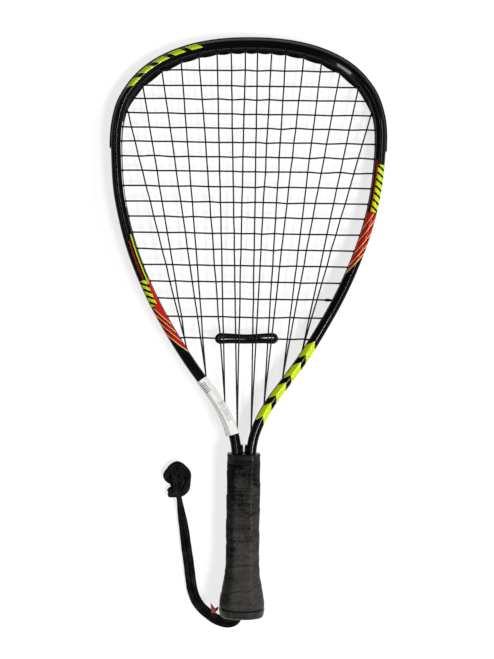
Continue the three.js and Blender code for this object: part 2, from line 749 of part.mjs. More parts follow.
// A flat loop round the last cross string.
function dampener() {
  const halfTurnSteps = 6;
  const half = DAMPENER_BAND / 2;
  const thick = DAMPENER_THICKNESS / 2;
  const cut = DAMPENER_ROUNDING;
  const section = points2([
    [half, thick - cut],
    [half - cut, thick],
    [cut - half, thick],
    [-half, thick - cut],
    [-half, cut - thick],
    [cut - half, -thick],
    [half - cut, -thick],
    [half, cut - thick],
  ]);
  const radius = DAMPENER_HEIGHT / 2 - half;
  const [left, right] = DAMPENER_EDGES;
  const centres = [left + DAMPENER_HEIGHT / 2, right - DAMPENER_HEIGHT / 2];
  const rings = [];
  for (let i = 0; i <= 2 * halfTurnSteps + 1; i += 1) {
    const isRight = i > halfTurnSteps;
    const turn = (((isRight ? i - 1 : i) / halfTurnSteps + 0.5) * Math.PI);
    const centre = centres[isRight ? 1 : 0];
    rings.push(
      section.map(({ x, y }) => {
        const reach = radius + x;
        const up = LAST_CROSS_HEIGHT + reach * Math.sin(turn);
        return new THREE.Vector3(centre + reach * Math.cos(turn), up, y);
      }),
    );
  }
  return loft(rings, section, true);
}

// Handle

const DEPTH_LESS = (CORE_WIDTH - CORE_DEPTH) / 2;
const BEVEL_GROWTH = 2 - Math.SQRT2; // keeps a bevel parallel to the core's

// An octagon's corners across the handle at a height.
function octagon(y, halfWidth) {
  const depth = halfWidth - DEPTH_LESS;
  const bevel = CORE_BEVEL + (halfWidth - CORE_WIDTH / 2) * BEVEL_GROWTH;
  const flat = halfWidth - bevel;
  const side = depth - bevel;
  return [
    [halfWidth, side],
    [flat, depth],
    [-flat, depth],
    [-halfWidth, side],
    [-halfWidth, -side],
    [-flat, -depth],
    [flat, -depth],
    [halfWidth, -side],
  ].map(([x, z]) => new THREE.Vector3(x, y, z));
}

// An octagonal solid along the handle through (height, half width) places.
function handleSolid(places) {
  const rings = places.map(([y, halfWidth]) => octagon(y, halfWidth));
  return loft(
    rings,
    rings[0].map(({ x, z }) => new THREE.Vector2(x, z)),
  );
}

// A cylinder along the handle.
function alongHandle(radius, from, to, segments) {
  const cylinder = new THREE.CylinderGeometry(radius, radius, to - from, segments);
  return solidOfGeometry(cylinder.translate(0, (from + to) / 2, 0));
}

function ellipsoid(centre, radii) {
  const widthSegments = 12;
  const heightSegments = 8;
  const ball = new THREE.SphereGeometry(1, widthSegments, heightSegments);
  return solidOfGeometry(ball.scale(...radii).translate(...centre));
}

const CORE_HALF = CORE_WIDTH / 2;

// The handle's core is two half shells that close round both shafts.
function coreHalf(side) {
  const shaft = TUBE_HALF + SEAT_GAP;
  const deep = TUBE_DEPTH / 2 + SEAT_GAP;
  const cut = TUBE_CHAMFER;
  const section = points2([
    [shaft, deep - cut],
    [shaft - cut, deep],
    [cut - shaft, deep],
    [-shaft, deep - cut],
    [-shaft, cut - deep],
    [cut - shaft, -deep],
    [shaft - cut, -deep],
    [shaft, cut - deep],
  ]);
  const channels = [-1, 1].map((shaftSide) => {
    const ring = (y) =>
      section.map(({ x, y: z }) => {
        return new THREE.Vector3(shaftSide * (SHAFT_SPACING / 2 + x), y, z);
      });
    return loft([ring(CORE_BOTTOM - OVERRUN), ring(CORE_TOP + OVERRUN)], section);
  });
  const whole = handleSolid([
    [CORE_BOTTOM, CORE_HALF],
    [CORE_TOP, CORE_HALF],
  ]).subtract(wasm.Manifold.union(channels));
  const other = new THREE.BoxGeometry(CORE_WIDTH + OVERRUN, OVERALL_LENGTH, CORE_DEPTH);
  other.translate(0, 0, (side * (SEAT_GAP - CORE_DEPTH)) / 2);
  return whole.subtract(solidOfGeometry(other)).subtract(tackHole(side));
}

const GRIP_HALF = CORE_HALF + SEAT_GAP + GRIP_THICKNESS;

// The (height, half width) places of the butt's rim, and of the grip's outside above it.
const RIM = [
  [0, END_HALF_WIDTH],
  [
    RIM_HEIGHT * RIM_BELLY_SHARES[0],
    THREE.MathUtils.lerp(END_HALF_WIDTH, RIM_HALF_WIDTH, RIM_BELLY_SHARES[1]),
  ],
  [RIM_HEIGHT, RIM_HALF_WIDTH],
];
const FLARE = FLARE_SHARES.map(([up, swell]) => [
  THREE.MathUtils.lerp(RIM_HEIGHT, FLARE_HEIGHT, up),
  THREE.MathUtils.lerp(GRIP_HALF, FLARE_HALF_WIDTH, swell),
]);
const GRIP_OUTSIDE = [...FLARE, [GRIP_TOP, GRIP_HALF]];

function halfWidthAt(places, height) {
  const above = places.findIndex(([y]) => y >= height);
  if (above <= 0) return places.at(above)[1];
  const [[y0, w0], [y1, w1]] = places.slice(above - 1, above + 1);
  return w0 + ((w1 - w0) * (height - y0)) / (y1 - y0);
}

const capHalfWidthAt = (height) => halfWidthAt(GRIP_OUTSIDE, height) - GRIP_THICKNESS - SEAT_GAP;
const TACK_SEAT = capHalfWidthAt(TACK_HEIGHT) - DEPTH_LESS;

// A tack through the cap into the core, or, with play, the hole that it sits in.
function tackShape(side, play) {
  const segments = 8;
  const top = TACK_SEAT - SEAT_GAP;
  const round = (radius, from, to) => {
    const cylinder = new THREE.CylinderGeometry(radius, radius, to - from, segments);
    cylinder.rotateX(Math.PI / 2).translate(0, TACK_HEIGHT, (side * (from + to)) / 2);
    return solidOfGeometry(cylinder);
  };
  const mouth = play ? top + OVERRUN : top;
  const shank = round(TACK_RADIUS + play, top - TACK_LENGTH - play, mouth);
  return shank.add(round(TACK_HEAD_RADIUS + play, top - TACK_HEAD - play, mouth));
}

const tackHole = (side) => tackShape(side, SEAT_GAP);

const RECESS_FLOOR = RECESS_DEPTH + DOOR_THICKNESS + SEAT_GAP;
const CAP_INNER = CORE_HALF + SEAT_GAP;

// A cup over the lower end of the core, with a ledge inside that the door sits on.
function buttCap() {
  const segments = 28;
  const inside = RECESS_FLOOR + LEDGE_THICKNESS;
  const flare = FLARE.filter(([y]) => y > RIM_HEIGHT + SEAT_GAP && y < CAP_TOP);
  const shoulder = RIM_HEIGHT + SEAT_GAP;
  return handleSolid([
    ...RIM,
    [shoulder, capHalfWidthAt(shoulder)],
    ...flare.map(([y]) => [y, capHalfWidthAt(y)]),
    [CAP_TOP, capHalfWidthAt(CAP_TOP)],
  ])
    .subtract(alongHandle(RECESS_RADIUS, -OVERRUN, RECESS_FLOOR, segments))
    .subtract(alongHandle(LEDGE_RADIUS, 0, inside + OVERRUN, segments))
    .subtract(
      handleSolid([
        [inside, CAP_INNER],
        [CAP_TOP + OVERRUN, CAP_INNER],
      ]),
    )
    .subtract(tackHole(1))
    .subtract(tackHole(-1));
}

// The door in the butt end, with a slot for both strands of the lanyard.
function buttDoor() {
  const segments = 28;
  const arcSegments = 6;
  const slot = CORD_DIAMETER / 2 + SLOT_PLAY;
  const spread = STRAND_SPREAD;
  const [x, z] = CORD_EXIT;
  const shape = new THREE.Shape();
  shape.absarc(-spread, 0, slot, Math.PI / 2, -Math.PI / 2);
  shape.absarc(spread, 0, slot, -Math.PI / 2, Math.PI / 2);
  const cutter = new THREE.ExtrudeGeometry(shape, {
    depth: RECESS_FLOOR + OVERRUN,
    curveSegments: arcSegments,
    bevelEnabled: false,
  });
  cutter.rotateX(-Math.PI / 2).translate(x, 0, z);
  const disc = alongHandle(
    RECESS_RADIUS - SEAT_GAP,
    RECESS_DEPTH,
    RECESS_DEPTH + DOOR_THICKNESS,
    segments,
  );
  return disc.subtract(solidOfGeometry(cutter));
}

// The grip tape, wound up the handle. Each turn laps over the one below, and its edge stands up.
function gripWrap() {
  const start = RIM_HEIGHT + SEAT_GAP;
  const rows = Math.round((GRIP_TOP - start) / GRIP_STEP);
  const outside = Array.from({ length: rows + 1 }, (_, row) => {
    const y = start + ((GRIP_TOP - start) * row) / rows;
    const corners = octagon(y, halfWidthAt(GRIP_OUTSIDE, y) - GRIP_LAP / 2);
    return corners.map((corner, i) => {
      const turns = y / GRIP_PITCH - i / corners.length;
      const lap = GRIP_LAP * (turns - Math.floor(turns));
      const size = 1 + lap / Math.hypot(corner.x, corner.z);
      return new THREE.Vector3(corner.x * size, y, corner.z * size);
    });
  });
  const seam = CAP_TOP + SEAT_GAP;
  const flare = FLARE.filter(([y]) => y > start && y < CAP_TOP);
  const inside = handleSolid([
    [start - OVERRUN, halfWidthAt(GRIP_OUTSIDE, start) - GRIP_THICKNESS],
    [start, halfWidthAt(GRIP_OUTSIDE, start) - GRIP_THICKNESS],
    ...flare.map(([y, halfWidth]) => [y, halfWidth - GRIP_THICKNESS]),
    [seam, halfWidthAt(GRIP_OUTSIDE, seam) - GRIP_THICKNESS],
    [seam + SEAT_GAP, CAP_INNER],
    [GRIP_TOP + OVERRUN, CAP_INNER],
  ]);
  return loft(
    outside,
    outside[0].map(({ x, z }) => new THREE.Vector2(x, z)),
  ).subtract(inside);
}

// An octagonal band round the core.
function band(from, to, inner, thickness) {
  const places = (halfWidth, past) => [
    [from - past, halfWidth],
    [to + past, halfWidth],
  ];
  return handleSolid(places(inner + thickness, 0)).subtract(handleSolid(places(inner, OVERRUN)));
}

const TAPE_BOTTOM = GRIP_TOP + SEAT_GAP;

function finishingTape() {
  return band(TAPE_BOTTOM, CORE_TOP, CAP_INNER, TAPE_THICKNESS);
}

function gripCollar() {
  const inner = CAP_INNER + TAPE_THICKNESS + SEAT_GAP;
  return band(TAPE_BOTTOM, COLLAR_TOP, inner, COLLAR_THICKNESS);
}

// The distance along the right half at which the rail is at a height.
const railAtHeight = (height) => {
  return railWhere((d) => -railAt(d).point.y, -height, WIDEST_DISTANCE, RAIL_LENGTH);
};

// A rubber pad on a shaft's inner face, just above the collar.
function throatPad(side) {
  const face = -TUBE_HALF - SEAT_GAP;
  const half = PAD_DEPTH / 2;
  const section = points2([
    [face, half],
    [face - PAD_THICKNESS, half],
    [face - PAD_THICKNESS, -half],
    [face, -half],
  ]);
  const bottom = railAtHeight(COLLAR_TOP + SEAT_GAP);
  const top = railAtHeight(COLLAR_TOP + SEAT_GAP + PAD_HEIGHT);
  return side < 0 ? sweep(section, -bottom, -top) : sweep(section, top, bottom);
}

// A paper label over the top of the left shaft.
function shaftLabel() {
  const outline = (gap) => {
    const side = TUBE_HALF + gap;
    const top = TUBE_DEPTH / 2 + gap;
    const cut = TUBE_CHAMFER + gap * BEVEL_GROWTH;
    const hem = TUBE_DEPTH / 2 - TUBE_CHAMFER - LABEL_SKIRT;
    return [
      [side, hem],
      [side, top - cut],
      [side - cut, top],
      [cut - side, top],
      [-side, top - cut],
      [-side, hem],
    ];
  };
  const section = points2([
    ...outline(SEAT_GAP + LABEL_THICKNESS),
    ...outline(SEAT_GAP).reverse(),
  ]);
  return sweep(section, -railAtHeight(LABEL_BOTTOM), -railAtHeight(LABEL_TOP));
}

// The red end of a swing tag. It sticks out of the seam between the butt's rim and the grip.
function tagEnd() {
  const seat = FLARE_HALF_WIDTH + SEAT_GAP;
  const corners = TAG_SHARES.map(([out, up]) => [
    -(seat + TAG_REACH * out),
    TAG_BOTTOM + TAG_HEIGHT * up,
  ]);
  const shape = new THREE.Shape(points2(corners));
  const sheet = new THREE.ExtrudeGeometry(shape, { depth: TAG_THICKNESS, bevelEnabled: false });
  return solidOfGeometry(sheet.translate(0, 0, -TAG_DROP));
}

// Lying on the table

// A solid as a mesh with its own finish.
function piece(name, solid, color, roughness, metalness = 0) {
  const finish = new THREE.MeshStandardMaterial({ color, roughness, metalness });
  const mesh = new THREE.Mesh(geometryOf(solid), finish);
  mesh.name = name;
  return mesh;
}

const BLACK_PAINT = [0x101011, 0.16];
const BLACK_PLASTIC = [0x17171a, 0.5];
const BLACK_NYLON = [0x1b1b1d, 0.45];
const BLACK_RUBBER = [0x161616, 0.6];
const GREY_TAPE = [0x373330, 0.55];
const CREAM_FOAM = [0xc9bfa0, 0.9];
const STEEL = [0xb8b8b8, 0.35, 1];
const BLACK_CORD = [0x24221f, 0.95];
const WHITE_PAPER = [0xf0f0ee, 0.7];
const RED_CARD = [0xa8262c, 0.7];

const anchorHeight = RECESS_FLOOR + LEDGE_THICKNESS + SEAT_GAP + ANCHOR_RADII[1];
const lying = new THREE.Group();
lying.add(
  piece("frame_tube", frameTube(), ...BLACK_PAINT),
  piece("head_bumper", bumper(), ...BLACK_PLASTIC),
  piece("grommet_strip_left", lowerStrip(-1), ...BLACK_PLASTIC),
  piece("grommet_strip_right", lowerStrip(1), ...BLACK_PLASTIC),
  piece("main_string", mainString(), ...BLACK_NYLON),
  piece("cross_string", crossString(), ...BLACK_NYLON),
  piece("vibration_dampener", dampener(), ...BLACK_RUBBER),
  piece("throat_pad_left", throatPad(-1), ...BLACK_RUBBER),
  piece("throat_pad_right", throatPad(1), ...BLACK_RUBBER),
  piece("handle_core_top", coreHalf(1), ...CREAM_FOAM),
  piece("handle_core_bottom", coreHalf(-1), ...CREAM_FOAM),
  piece("butt_cap", buttCap(), ...BLACK_PLASTIC),
  piece("butt_door", buttDoor(), ...BLACK_PLASTIC),
  piece("cap_tack_top", tackShape(1, 0), ...STEEL),
  piece("cap_tack_bottom", tackShape(-1, 0), ...STEEL),
  piece("grip_wrap", gripWrap(), ...GREY_TAPE),
  piece("finishing_tape", finishingTape(), ...BLACK_PLASTIC),
  piece("grip_collar", gripCollar(), ...BLACK_RUBBER),
  piece("shaft_label", shaftLabel(), ...WHITE_PAPER),
  piece("tag_end", tagEnd(), ...RED_CARD),
  piece(
    "lanyard_anchor",
    ellipsoid([CORD_EXIT[0], anchorHeight, CORD_EXIT[1]], ANCHOR_RADII),
    ...BLACK_CORD,
  ),
);

// The racket rests on its butt flare and on the tip of its head.
const restRise = FLARE_HALF_WIDTH - DEPTH_LESS - TUBE_DEPTH / 2;
const flarePeak = FLARE.findLast(([, halfWidth]) => halfWidth === FLARE_HALF_WIDTH)[0];
const TIP_DOWN = Math.atan(restRise / (OVERALL_LENGTH - TUBE_CHAMFER - flarePeak));
lying.rotation.x = -TIP_DOWN;
lying.position.z = -new THREE.Box3().setFromObject(lying, true).min.z;

// One strand of the lanyard: side is 1 for the one that climbs on top, which is the inner one of
// the bend, and -1 for the other.
function strand(side) {
  const [x, z] = CORD_EXIT;
  const flat = CORD_DIAMETER / 2 + SEAT_GAP;
  lying.updateMatrixWorld(true);
  const inButt = [RECESS_FLOOR + LEDGE_THICKNESS, RECESS_DEPTH].map((y) => {
    const place = lying.localToWorld(new THREE.Vector3(x, y, z));
    return [place.x, place.y, place.z - flat, 0];
  });
  const line = [...inButt, ...LANYARD_LINE];
  const middle = new THREE.CatmullRomCurve3(
    line.map(([across, along, up]) => new THREE.Vector3(across, along, up)),
    false,
    "centripetal",
  );
  const climbing = new THREE.CatmullRomCurve3(
    line.map(([, , , share]) => new THREE.Vector3(share, 0, 0)),
    false,
    "catmullrom",
  );
  const points = Array.from({ length: CORD_STEPS + 1 }, (_, i) => {
    const share = i / CORD_STEPS;
    const point = middle.getPoint(share);
    const along = middle.getTangent(share);
    const climb = (THREE.MathUtils.clamp(climbing.getPoint(share).x, 0, 1) * Math.PI) / 2;
    const out = new THREE.Vector3(along.y, -along.x, 0).normalize();
    out.multiplyScalar(Math.cos(climb)).setZ(Math.sin(climb));
    const lift = flat + STRAND_SPREAD * Math.sin(climb);
    point.addScaledVector(out, side * STRAND_SPREAD);
    return point.setZ(point.z + lift);
  });
  return tubeAlong(points, CORD_DIAMETER / 2, CORD_SIDES);
}

function lanyardKnot() {
  const vectors = (places) => places.map((place) => new THREE.Vector3(...place));
  const closed = new THREE.CatmullRomCurve3(vectors(KNOT_LINE), true, "centripetal");
  const loop = closed.getPoints(KNOT_STEPS).slice(0, -1);
  return wasm.Manifold.union([
    tubeAlong(loop, KNOT_RADIUS, KNOT_SIDES, true),
    ellipsoid(KNOT_CORE, KNOT_CORE_RADII),
    ellipsoid(KNOT_NECK, KNOT_NECK_RADII),
    tubeAlong(vectors(KNOT_TAIL), KNOT_TAIL_RADIUS, KNOT_SIDES),
  ]);
}

const lanyard = new THREE.Group();
lanyard.add(
  piece("lanyard_strand_inner", strand(1), ...BLACK_CORD),
  piece("lanyard_strand_outer", strand(-1), ...BLACK_CORD),
  piece("lanyard_knot", lanyardKnot(), ...BLACK_CORD),
);

// The origin is on the table, under the middle of the racket without its lanyard.
const racket = new THREE.Group();
racket.name = "racquetball_racket";
racket.add(lying, lanyard);
const reach = new THREE.Box3().setFromObject(lying, true);
racket.position.y = -(reach.min.y + reach.max.y) / 2;

export default racket;
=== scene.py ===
"""The looks of a racquetball racket with a wrist lanyard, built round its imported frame.

The racket's pieces are worked out in its own flat frame, in millimetres: x across the face, y from
the butt end to the tip of the head, z square to the strings. lie_down() tips them onto the table
and gives the row's metres. The lanyard lies on the table, so its route only needs on_table().
"""

import math

import bpy
import numpy as np
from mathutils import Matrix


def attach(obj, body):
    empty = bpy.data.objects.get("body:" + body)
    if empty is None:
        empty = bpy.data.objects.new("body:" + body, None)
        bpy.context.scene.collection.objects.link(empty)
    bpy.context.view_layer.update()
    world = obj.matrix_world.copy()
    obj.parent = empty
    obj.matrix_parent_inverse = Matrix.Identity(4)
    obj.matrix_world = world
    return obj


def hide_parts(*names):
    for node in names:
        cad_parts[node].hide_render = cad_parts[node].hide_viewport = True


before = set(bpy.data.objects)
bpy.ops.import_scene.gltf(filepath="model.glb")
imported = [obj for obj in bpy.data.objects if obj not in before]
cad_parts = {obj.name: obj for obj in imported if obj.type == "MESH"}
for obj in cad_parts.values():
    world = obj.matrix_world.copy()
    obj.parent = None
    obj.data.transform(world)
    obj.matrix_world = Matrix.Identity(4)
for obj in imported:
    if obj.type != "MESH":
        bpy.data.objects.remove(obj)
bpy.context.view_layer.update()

# The racket's sizes, in millimetres

MM = 0.001
LENGTH = 558.8
HEAD_WIDTH = 266.0
CROWN = 92.8
TUBE_HALF = 4.8
TUBE_DEEP = 10.0
TUBE_CHAMFER = 3.0
GROOVE_HALF = 3.4
GROOVE_DEPTH = 2.4
TUBE_END = 24.0
PROUD = 1.3
HEAD_EXPONENT = 2.25
SHAFT_HALF_SPACING = 7.2
SHAFT_TOP = 158.0
BEND = np.array([33.1, 219.8])
THROAT_SLOPE = 0.73
SIDE_PULL, THROAT_PULL, BEND_PULL, SHAFT_PULL = 0.386, 0.325, 0.227, 0.405
WIDEST = LENGTH - CROWN
RAIL_HALF = HEAD_WIDTH / 2 - PROUD - TUBE_HALF
RAIL_TIP = LENGTH - PROUD - TUBE_HALF

STRING = 0.72
CROSS_STRING = 0.8
STRIP_FLOOR, STRIP_FACE, STRIP_HALF = 2.7, 3.5, 3.1
BARREL = 1.3
MOUTH = -(TUBE_HALF + 0.5)
TOP_REACH = 119.4
HOLE_RISE = 0.5
PAIR_RISE = 1.25
LOOP_RISE = 1.3
LOOP_OFFSET = STRIP_FACE + 0.25 + STRING
MAIN_TOP_SHARES = np.array([0.049, 0.164, 0.277, 0.423, 0.566, 0.722, 0.876, 0.992])
PAIR_HEIGHTS = 184 + 77 * np.array([0, 0.31818, 0.64286, 1])
FIRST_CROSS, LAST_CROSS = LENGTH - 30.6, 269.6
CROSS_SHARES = np.array([
    0, 0.058, 0.108, 0.162, 0.215, 0.268, 0.323, 0.377, 0.434, 0.492,
    0.548, 0.608, 0.668, 0.728, 0.789, 0.852, 0.92, 1,
])
BUMPER_LAST_CROSS = 6

HANDLE_DEPTH_LESS = 1.5
CORE_HALF = 14.0
CORE_BEVEL = 6.0
GRIP_HALF = 16.2
GRIP_TOP = 149.6
COLLAR_TOP = 159.2
RIM_TOP = 6.6
RIM_EDGE = 11.6
FLARE_TOP = 55.0
FLARE_HALF = 22.4
FLARE_SHARES = np.array([
    [0, 0.87], [0.05, 1], [0.153, 1], [0.235, 0.89], [0.38, 0.65], [0.545, 0.4], [0.73, 0.16],
    [1, 0],
])

# How the racket lies: on its butt flare, at FLARE_TOUCH from the butt end, and the head's tip
FLARE_TOUCH = 14.0052
REST_RISE = FLARE_HALF - HANDLE_DEPTH_LESS - TUBE_DEEP
TIP_DOWN = math.atan(REST_RISE / (LENGTH - TUBE_CHAMFER - FLARE_TOUCH))
LIFT = 21.2366
MIDDLE = 279.249


def lie_down(points):
    """Racket millimetres to row metres: a turn by TIP_DOWN about x, a lift, and a shift along y."""
    x, y, z = np.moveaxis(np.asarray(points, float), -1, 0)
    turn, rise = math.cos(TIP_DOWN), math.sin(TIP_DOWN)
    return np.stack([x, y * turn + z * rise - MIDDLE, z * turn - y * rise + LIFT], -1) * MM


def on_table(points):
    """Table millimetres, with y from the butt end, to row metres."""
    return (np.asarray(points, float) - [0, MIDDLE, 0]) * MM


# Surfaces

UP = np.array([0, 0, 1])


def unit(vectors):
    """Vectors with the same directions and a length of one."""
    return vectors / np.linalg.norm(vectors, axis=-1, keepdims=True)


def once_round(count):
    """Even steps of angle, once round without the last."""
    return np.arange(count) / count * 2 * np.pi


def bell(x, middle, width):
    """exp(-((x - middle) / width)^2)."""
    return np.exp(-(((x - middle) / width) ** 2))


def along(points):
    """Unit directions along a line of points, from differences between neighbours."""
    return unit(np.gradient(points, axis=-2))


def distances(points):
    """How far along a line each of its points lies."""
    steps = np.linalg.norm(np.diff(points, axis=0), axis=1)
    return np.concatenate([[0], np.cumsum(steps)])


def rounded(corners, setback, steps):
    """A closed outline with each corner cut back by setback and bridged by a quadratic curve.

    corners is (..., corner, 2) and the result is (..., corner * steps, 2)."""
    to_before, to_after = np.roll(corners, 1, -2) - corners, np.roll(corners, -1, -2) - corners
    short = np.minimum(np.linalg.norm(to_before, axis=-1), np.linalg.norm(to_after, axis=-1))
    cut = np.minimum(np.broadcast_to(setback, short.shape), 0.48 * short)[..., None]
    start, end = corners + cut * unit(to_before), corners + cut * unit(to_after)
    t = np.linspace(0, 1, steps)[:, None]
    start, middle, end = start[..., None, :], corners[..., None, :], end[..., None, :]
    bridge = (1 - t) ** 2 * start + 2 * t * (1 - t) * middle + t**2 * end
    return bridge.reshape(*corners.shape[:-2], -1, 2)


def divided(corners, steps):
    """Straight runs between corners, each given as many points as steps and without its end."""
    t = np.linspace(0, 1, steps + 1)[:-1, None]
    return np.concatenate([a + (b - a) * t for a, b in zip(corners[:-1], corners[1:])])


def curve_through(points, steps):
    """A centripetal Catmull-Rom curve: each span's knots stand apart by the root of its length.
    Where points have a fourth number it is carried along, and isn't counted in the length."""
    points = np.asarray(points, float)
    first, last = 2 * points[:1] - points[1:2], 2 * points[-1:] - points[-2:-1]
    points = np.concatenate([first, points, last])
    a, b, c, d = (points[i : len(points) - 3 + i, None] for i in range(4))
    gaps = [(q - p)[..., :3] for p, q in ((a, b), (b, c), (c, d))]
    roots = [np.sqrt(np.linalg.norm(gap, axis=-1, keepdims=True)) for gap in gaps]
    k1, k2, k3 = np.cumsum(roots, 0)
    t = k1 + (k2 - k1) * np.linspace(0, 1, steps, endpoint=False)[None, :, None]
    ab = (k1 - t) / k1 * a + t / k1 * b
    bc = (k2 - t) / (k2 - k1) * b + (t - k1) / (k2 - k1) * c
    cd = (k3 - t) / (k3 - k2) * c + (t - k2) / (k3 - k2) * d
    abc = (k2 - t) / k2 * ab + t / k2 * bc
    bcd = (k3 - t) / (k3 - k1) * bc + (t - k1) / (k3 - k1) * cd
    made = (k2 - t) / (k2 - k1) * abc + (t - k1) / (k2 - k1) * bcd
    return np.concatenate([made.reshape(-1, points.shape[1]), points[-2:-1]])


def wave_through(x, knots, heights):
    """Cosine steps between knots: flat at each knot, steepest half way to the next."""
    i = np.clip(np.searchsorted(knots, x) - 1, 0, len(knots) - 2)
    share = np.clip((x - knots[i]) / np.maximum(knots[i + 1] - knots[i], 1e-6), 0, 1)
    return heights[i] + (heights[i + 1] - heights[i]) * (1 - np.cos(np.pi * share)) / 2


def skin(grid, chart=None, closed=False):
    """A closed skin over rings of points, grid[ring, place], with flat ends unless it is closed.

    chart gives a u for each ring and a v for each place. Each has one more where it closes."""
    rings, places = grid.shape[:2]
    spans = rings if closed else rings - 1
    i, j = np.meshgrid(np.arange(spans), np.arange(places), indexing="ij")
    down, over = (i + 1) % rings, (j + 1) % places
    row, next_row = i * places, down * places
    quads = np.stack([row + j, row + over, next_row + over, next_row + j], -1).reshape(-1, 4)
    if chart is None:
        chart = np.linspace(0, 1, spans + 1), np.linspace(0, 1, places + 1)
    u, v = chart
    spots = [(u[i], v[j]), (u[i], v[j + 1]), (u[i + 1], v[j + 1]), (u[i + 1], v[j])]
    spots = np.stack([np.stack(spot, -1) for spot in spots], -2).reshape(-1, 4, 2)
    ends = []
    if not closed:
        last = (rings - 1) * places
        ends = [np.arange(places)[::-1], last + np.arange(places)]
    points = grid.reshape(-1, 3)
    corners = [quads[:, [0, 1, 2]], quads[:, [0, 2, 3]]]
    for end in ends:
        corners.append(np.stack([np.full(places - 2, end[0]), end[1:-1], end[2:]], -1))
    a, b, c = np.moveaxis(points[np.concatenate(corners)] - points.mean(0), 1, 0)
    if (a * np.cross(b, c)).sum() < 0:
        quads, spots = quads[:, ::-1], spots[:, ::-1]
        ends = [end[::-1] for end in ends]
    return points, quads, spots, ends


def build(name, skins, finish, stands_for, sharp=35):
    """One object from several skins, with the chart as its UV map and sharp edges by angle."""
    points, faces, spots, start = [], [], [], 0
    for skin_points, quads, corner_spots, ends in skins:
        points.append(skin_points)
        faces += (quads + start).tolist()
        spots.append(corner_spots.reshape(-1, 2))
        for end in ends:
            faces.append((end + start).tolist())
            spots.append(np.repeat(corner_spots[:1, 0], len(end), 0))
        start += len(skin_points)
    mesh = bpy.data.meshes.new(name)
    mesh.from_pydata(np.concatenate(points).tolist(), [], faces)
    chart = mesh.uv_layers.new(name="Chart")
    chart.uv.foreach_set("vector", np.concatenate(spots).astype(np.float32).ravel())
    mesh.polygons.foreach_set("use_smooth", np.ones(len(faces), bool))
    mesh.set_sharp_from_angle(angle=math.radians(sharp))
    mesh.materials.append(finish)
    made = bpy.data.objects.new(name, mesh)
    bpy.context.scene.collection.objects.link(made)
    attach(made, "root")
    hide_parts(*stands_for)
    return made


def tube(line, radius, sides):
    """A round tube on a line: each ring is radius * (side * cos + rise * sin) about its point.

    side is level and square to the line, rise is square to both. radius may vary by (ring, side).
    The chart's u is the length along the line and its v goes once round."""
    forward = along(line)
    side = unit(np.cross(forward, UP))
    rise = np.cross(side, forward)
    turn = once_round(sides)[:, None]
    radius = np.broadcast_to(radius, (len(line), sides))[..., None]
    spread = side[:, None] * np.cos(turn) + rise[:, None] * np.sin(turn)
    return line[:, None] + radius * spread, (distances(line), np.linspace(0, 1, sides + 1))


# The rail, the tube's centre line: a superellipse over the head and two Bezier curves to the grip


def bezier(a, b, c, d, steps=500):
    """A cubic Bezier curve's points, without its first."""
    t = np.linspace(0, 1, steps)[1:, None]
    return (1 - t) ** 3 * a + 3 * t * (1 - t) ** 2 * b + 3 * t * t * (1 - t) * c + t**3 * d


def rail_line():
    """The right half of the rail: x = half * sin^(2/n), y = widest + crown * cos^(2/n), then down
    the throat's two curves and the straight shaft."""
    turn = np.linspace(0, np.pi / 2, 2000)
    power = 2 / HEAD_EXPONENT
    up = np.clip(np.cos(turn), 0, 1) ** power
    head = np.stack([RAIL_HALF * np.sin(turn) ** power, WIDEST + (RAIL_TIP - WIDEST) * up], 1)
    widest, shaft = head[-1], np.array([SHAFT_HALF_SPACING, SHAFT_TOP])
    slope = np.array([THROAT_SLOPE, 1.0])
    side, turn_in = widest[1] - BEND[1], BEND[1] - SHAFT_TOP
    down = np.array([0, 1.0])
    throat = bezier(
        widest, widest - down * side * SIDE_PULL, BEND + slope * side * THROAT_PULL, BEND
    )
    shaft_bend = bezier(
        BEND, BEND - slope * turn_in * BEND_PULL, shaft + down * turn_in * SHAFT_PULL, shaft
    )
    end = np.array([[SHAFT_HALF_SPACING, TUBE_END]])
    return np.concatenate([head, throat, shaft_bend, end])


RAIL = rail_line()
RAIL_DISTANCES = distances(RAIL)
RAIL_LENGTH = RAIL_DISTANCES[-1]
EVEN = np.linspace(0, RAIL_LENGTH, 6000)
EVEN_RAIL = np.stack([np.interp(EVEN, RAIL_DISTANCES, RAIL[:, k]) for k in range(2)], 1)
EVEN_WAY = along(EVEN_RAIL)
EVEN_WAY[0] = [1, 0]


def rail_at(distance):
    """The side (1 or -1), the place x, y and the forward direction dx, dy at distances along the
    rail, all but the side as on the right half. The left half's distances are negative."""
    distance = np.asarray(distance, float)
    reach = np.abs(distance)
    x, y = (np.interp(reach, EVEN, EVEN_RAIL[:, k]) for k in range(2))
    dx, dy = (np.interp(reach, EVEN, EVEN_WAY[:, k]) for k in range(2))
    return np.where(distance < 0, -1.0, 1.0), x, y, dx, dy


# How far the hoop is out of true at some heights: its lean to the right, and its width's share
TRUE_HEIGHTS = np.array([200, 245, 290, 340, 400, 450, 490, 515, 540, 560.0])
LEANS = np.array([0, -0.6, -1.0, -1.0, -0.4, 0.2, 0.8, 1.6, 2.0, 2.1])
WIDTH_SHARES = np.array([1, 1.02, 1.012, 1.009, 1.009, 1.004, 0.996, 0.996, 1.004, 1.004])
CROWN_FROM, CROWN_FULL = 480, 550
CROWN_RISE, CROWN_TILT = 0.6, 0.007


def as_strung(x, y):
    """The hoop as string tension has left it: x is stretched and leans by smooth steps between the
    heights above, and the crown's right side rises as its left side sinks."""
    wide = 1 + wave_through(y, TRUE_HEIGHTS, WIDTH_SHARES - 1)
    crown = np.clip((y - CROWN_FROM) / (CROWN_FULL - CROWN_FROM), 0, 1) ** 2
    lean = wave_through(y, TRUE_HEIGHTS, LEANS)
    return x * wide + lean, y + crown * (CROWN_RISE + CROWN_TILT * x)


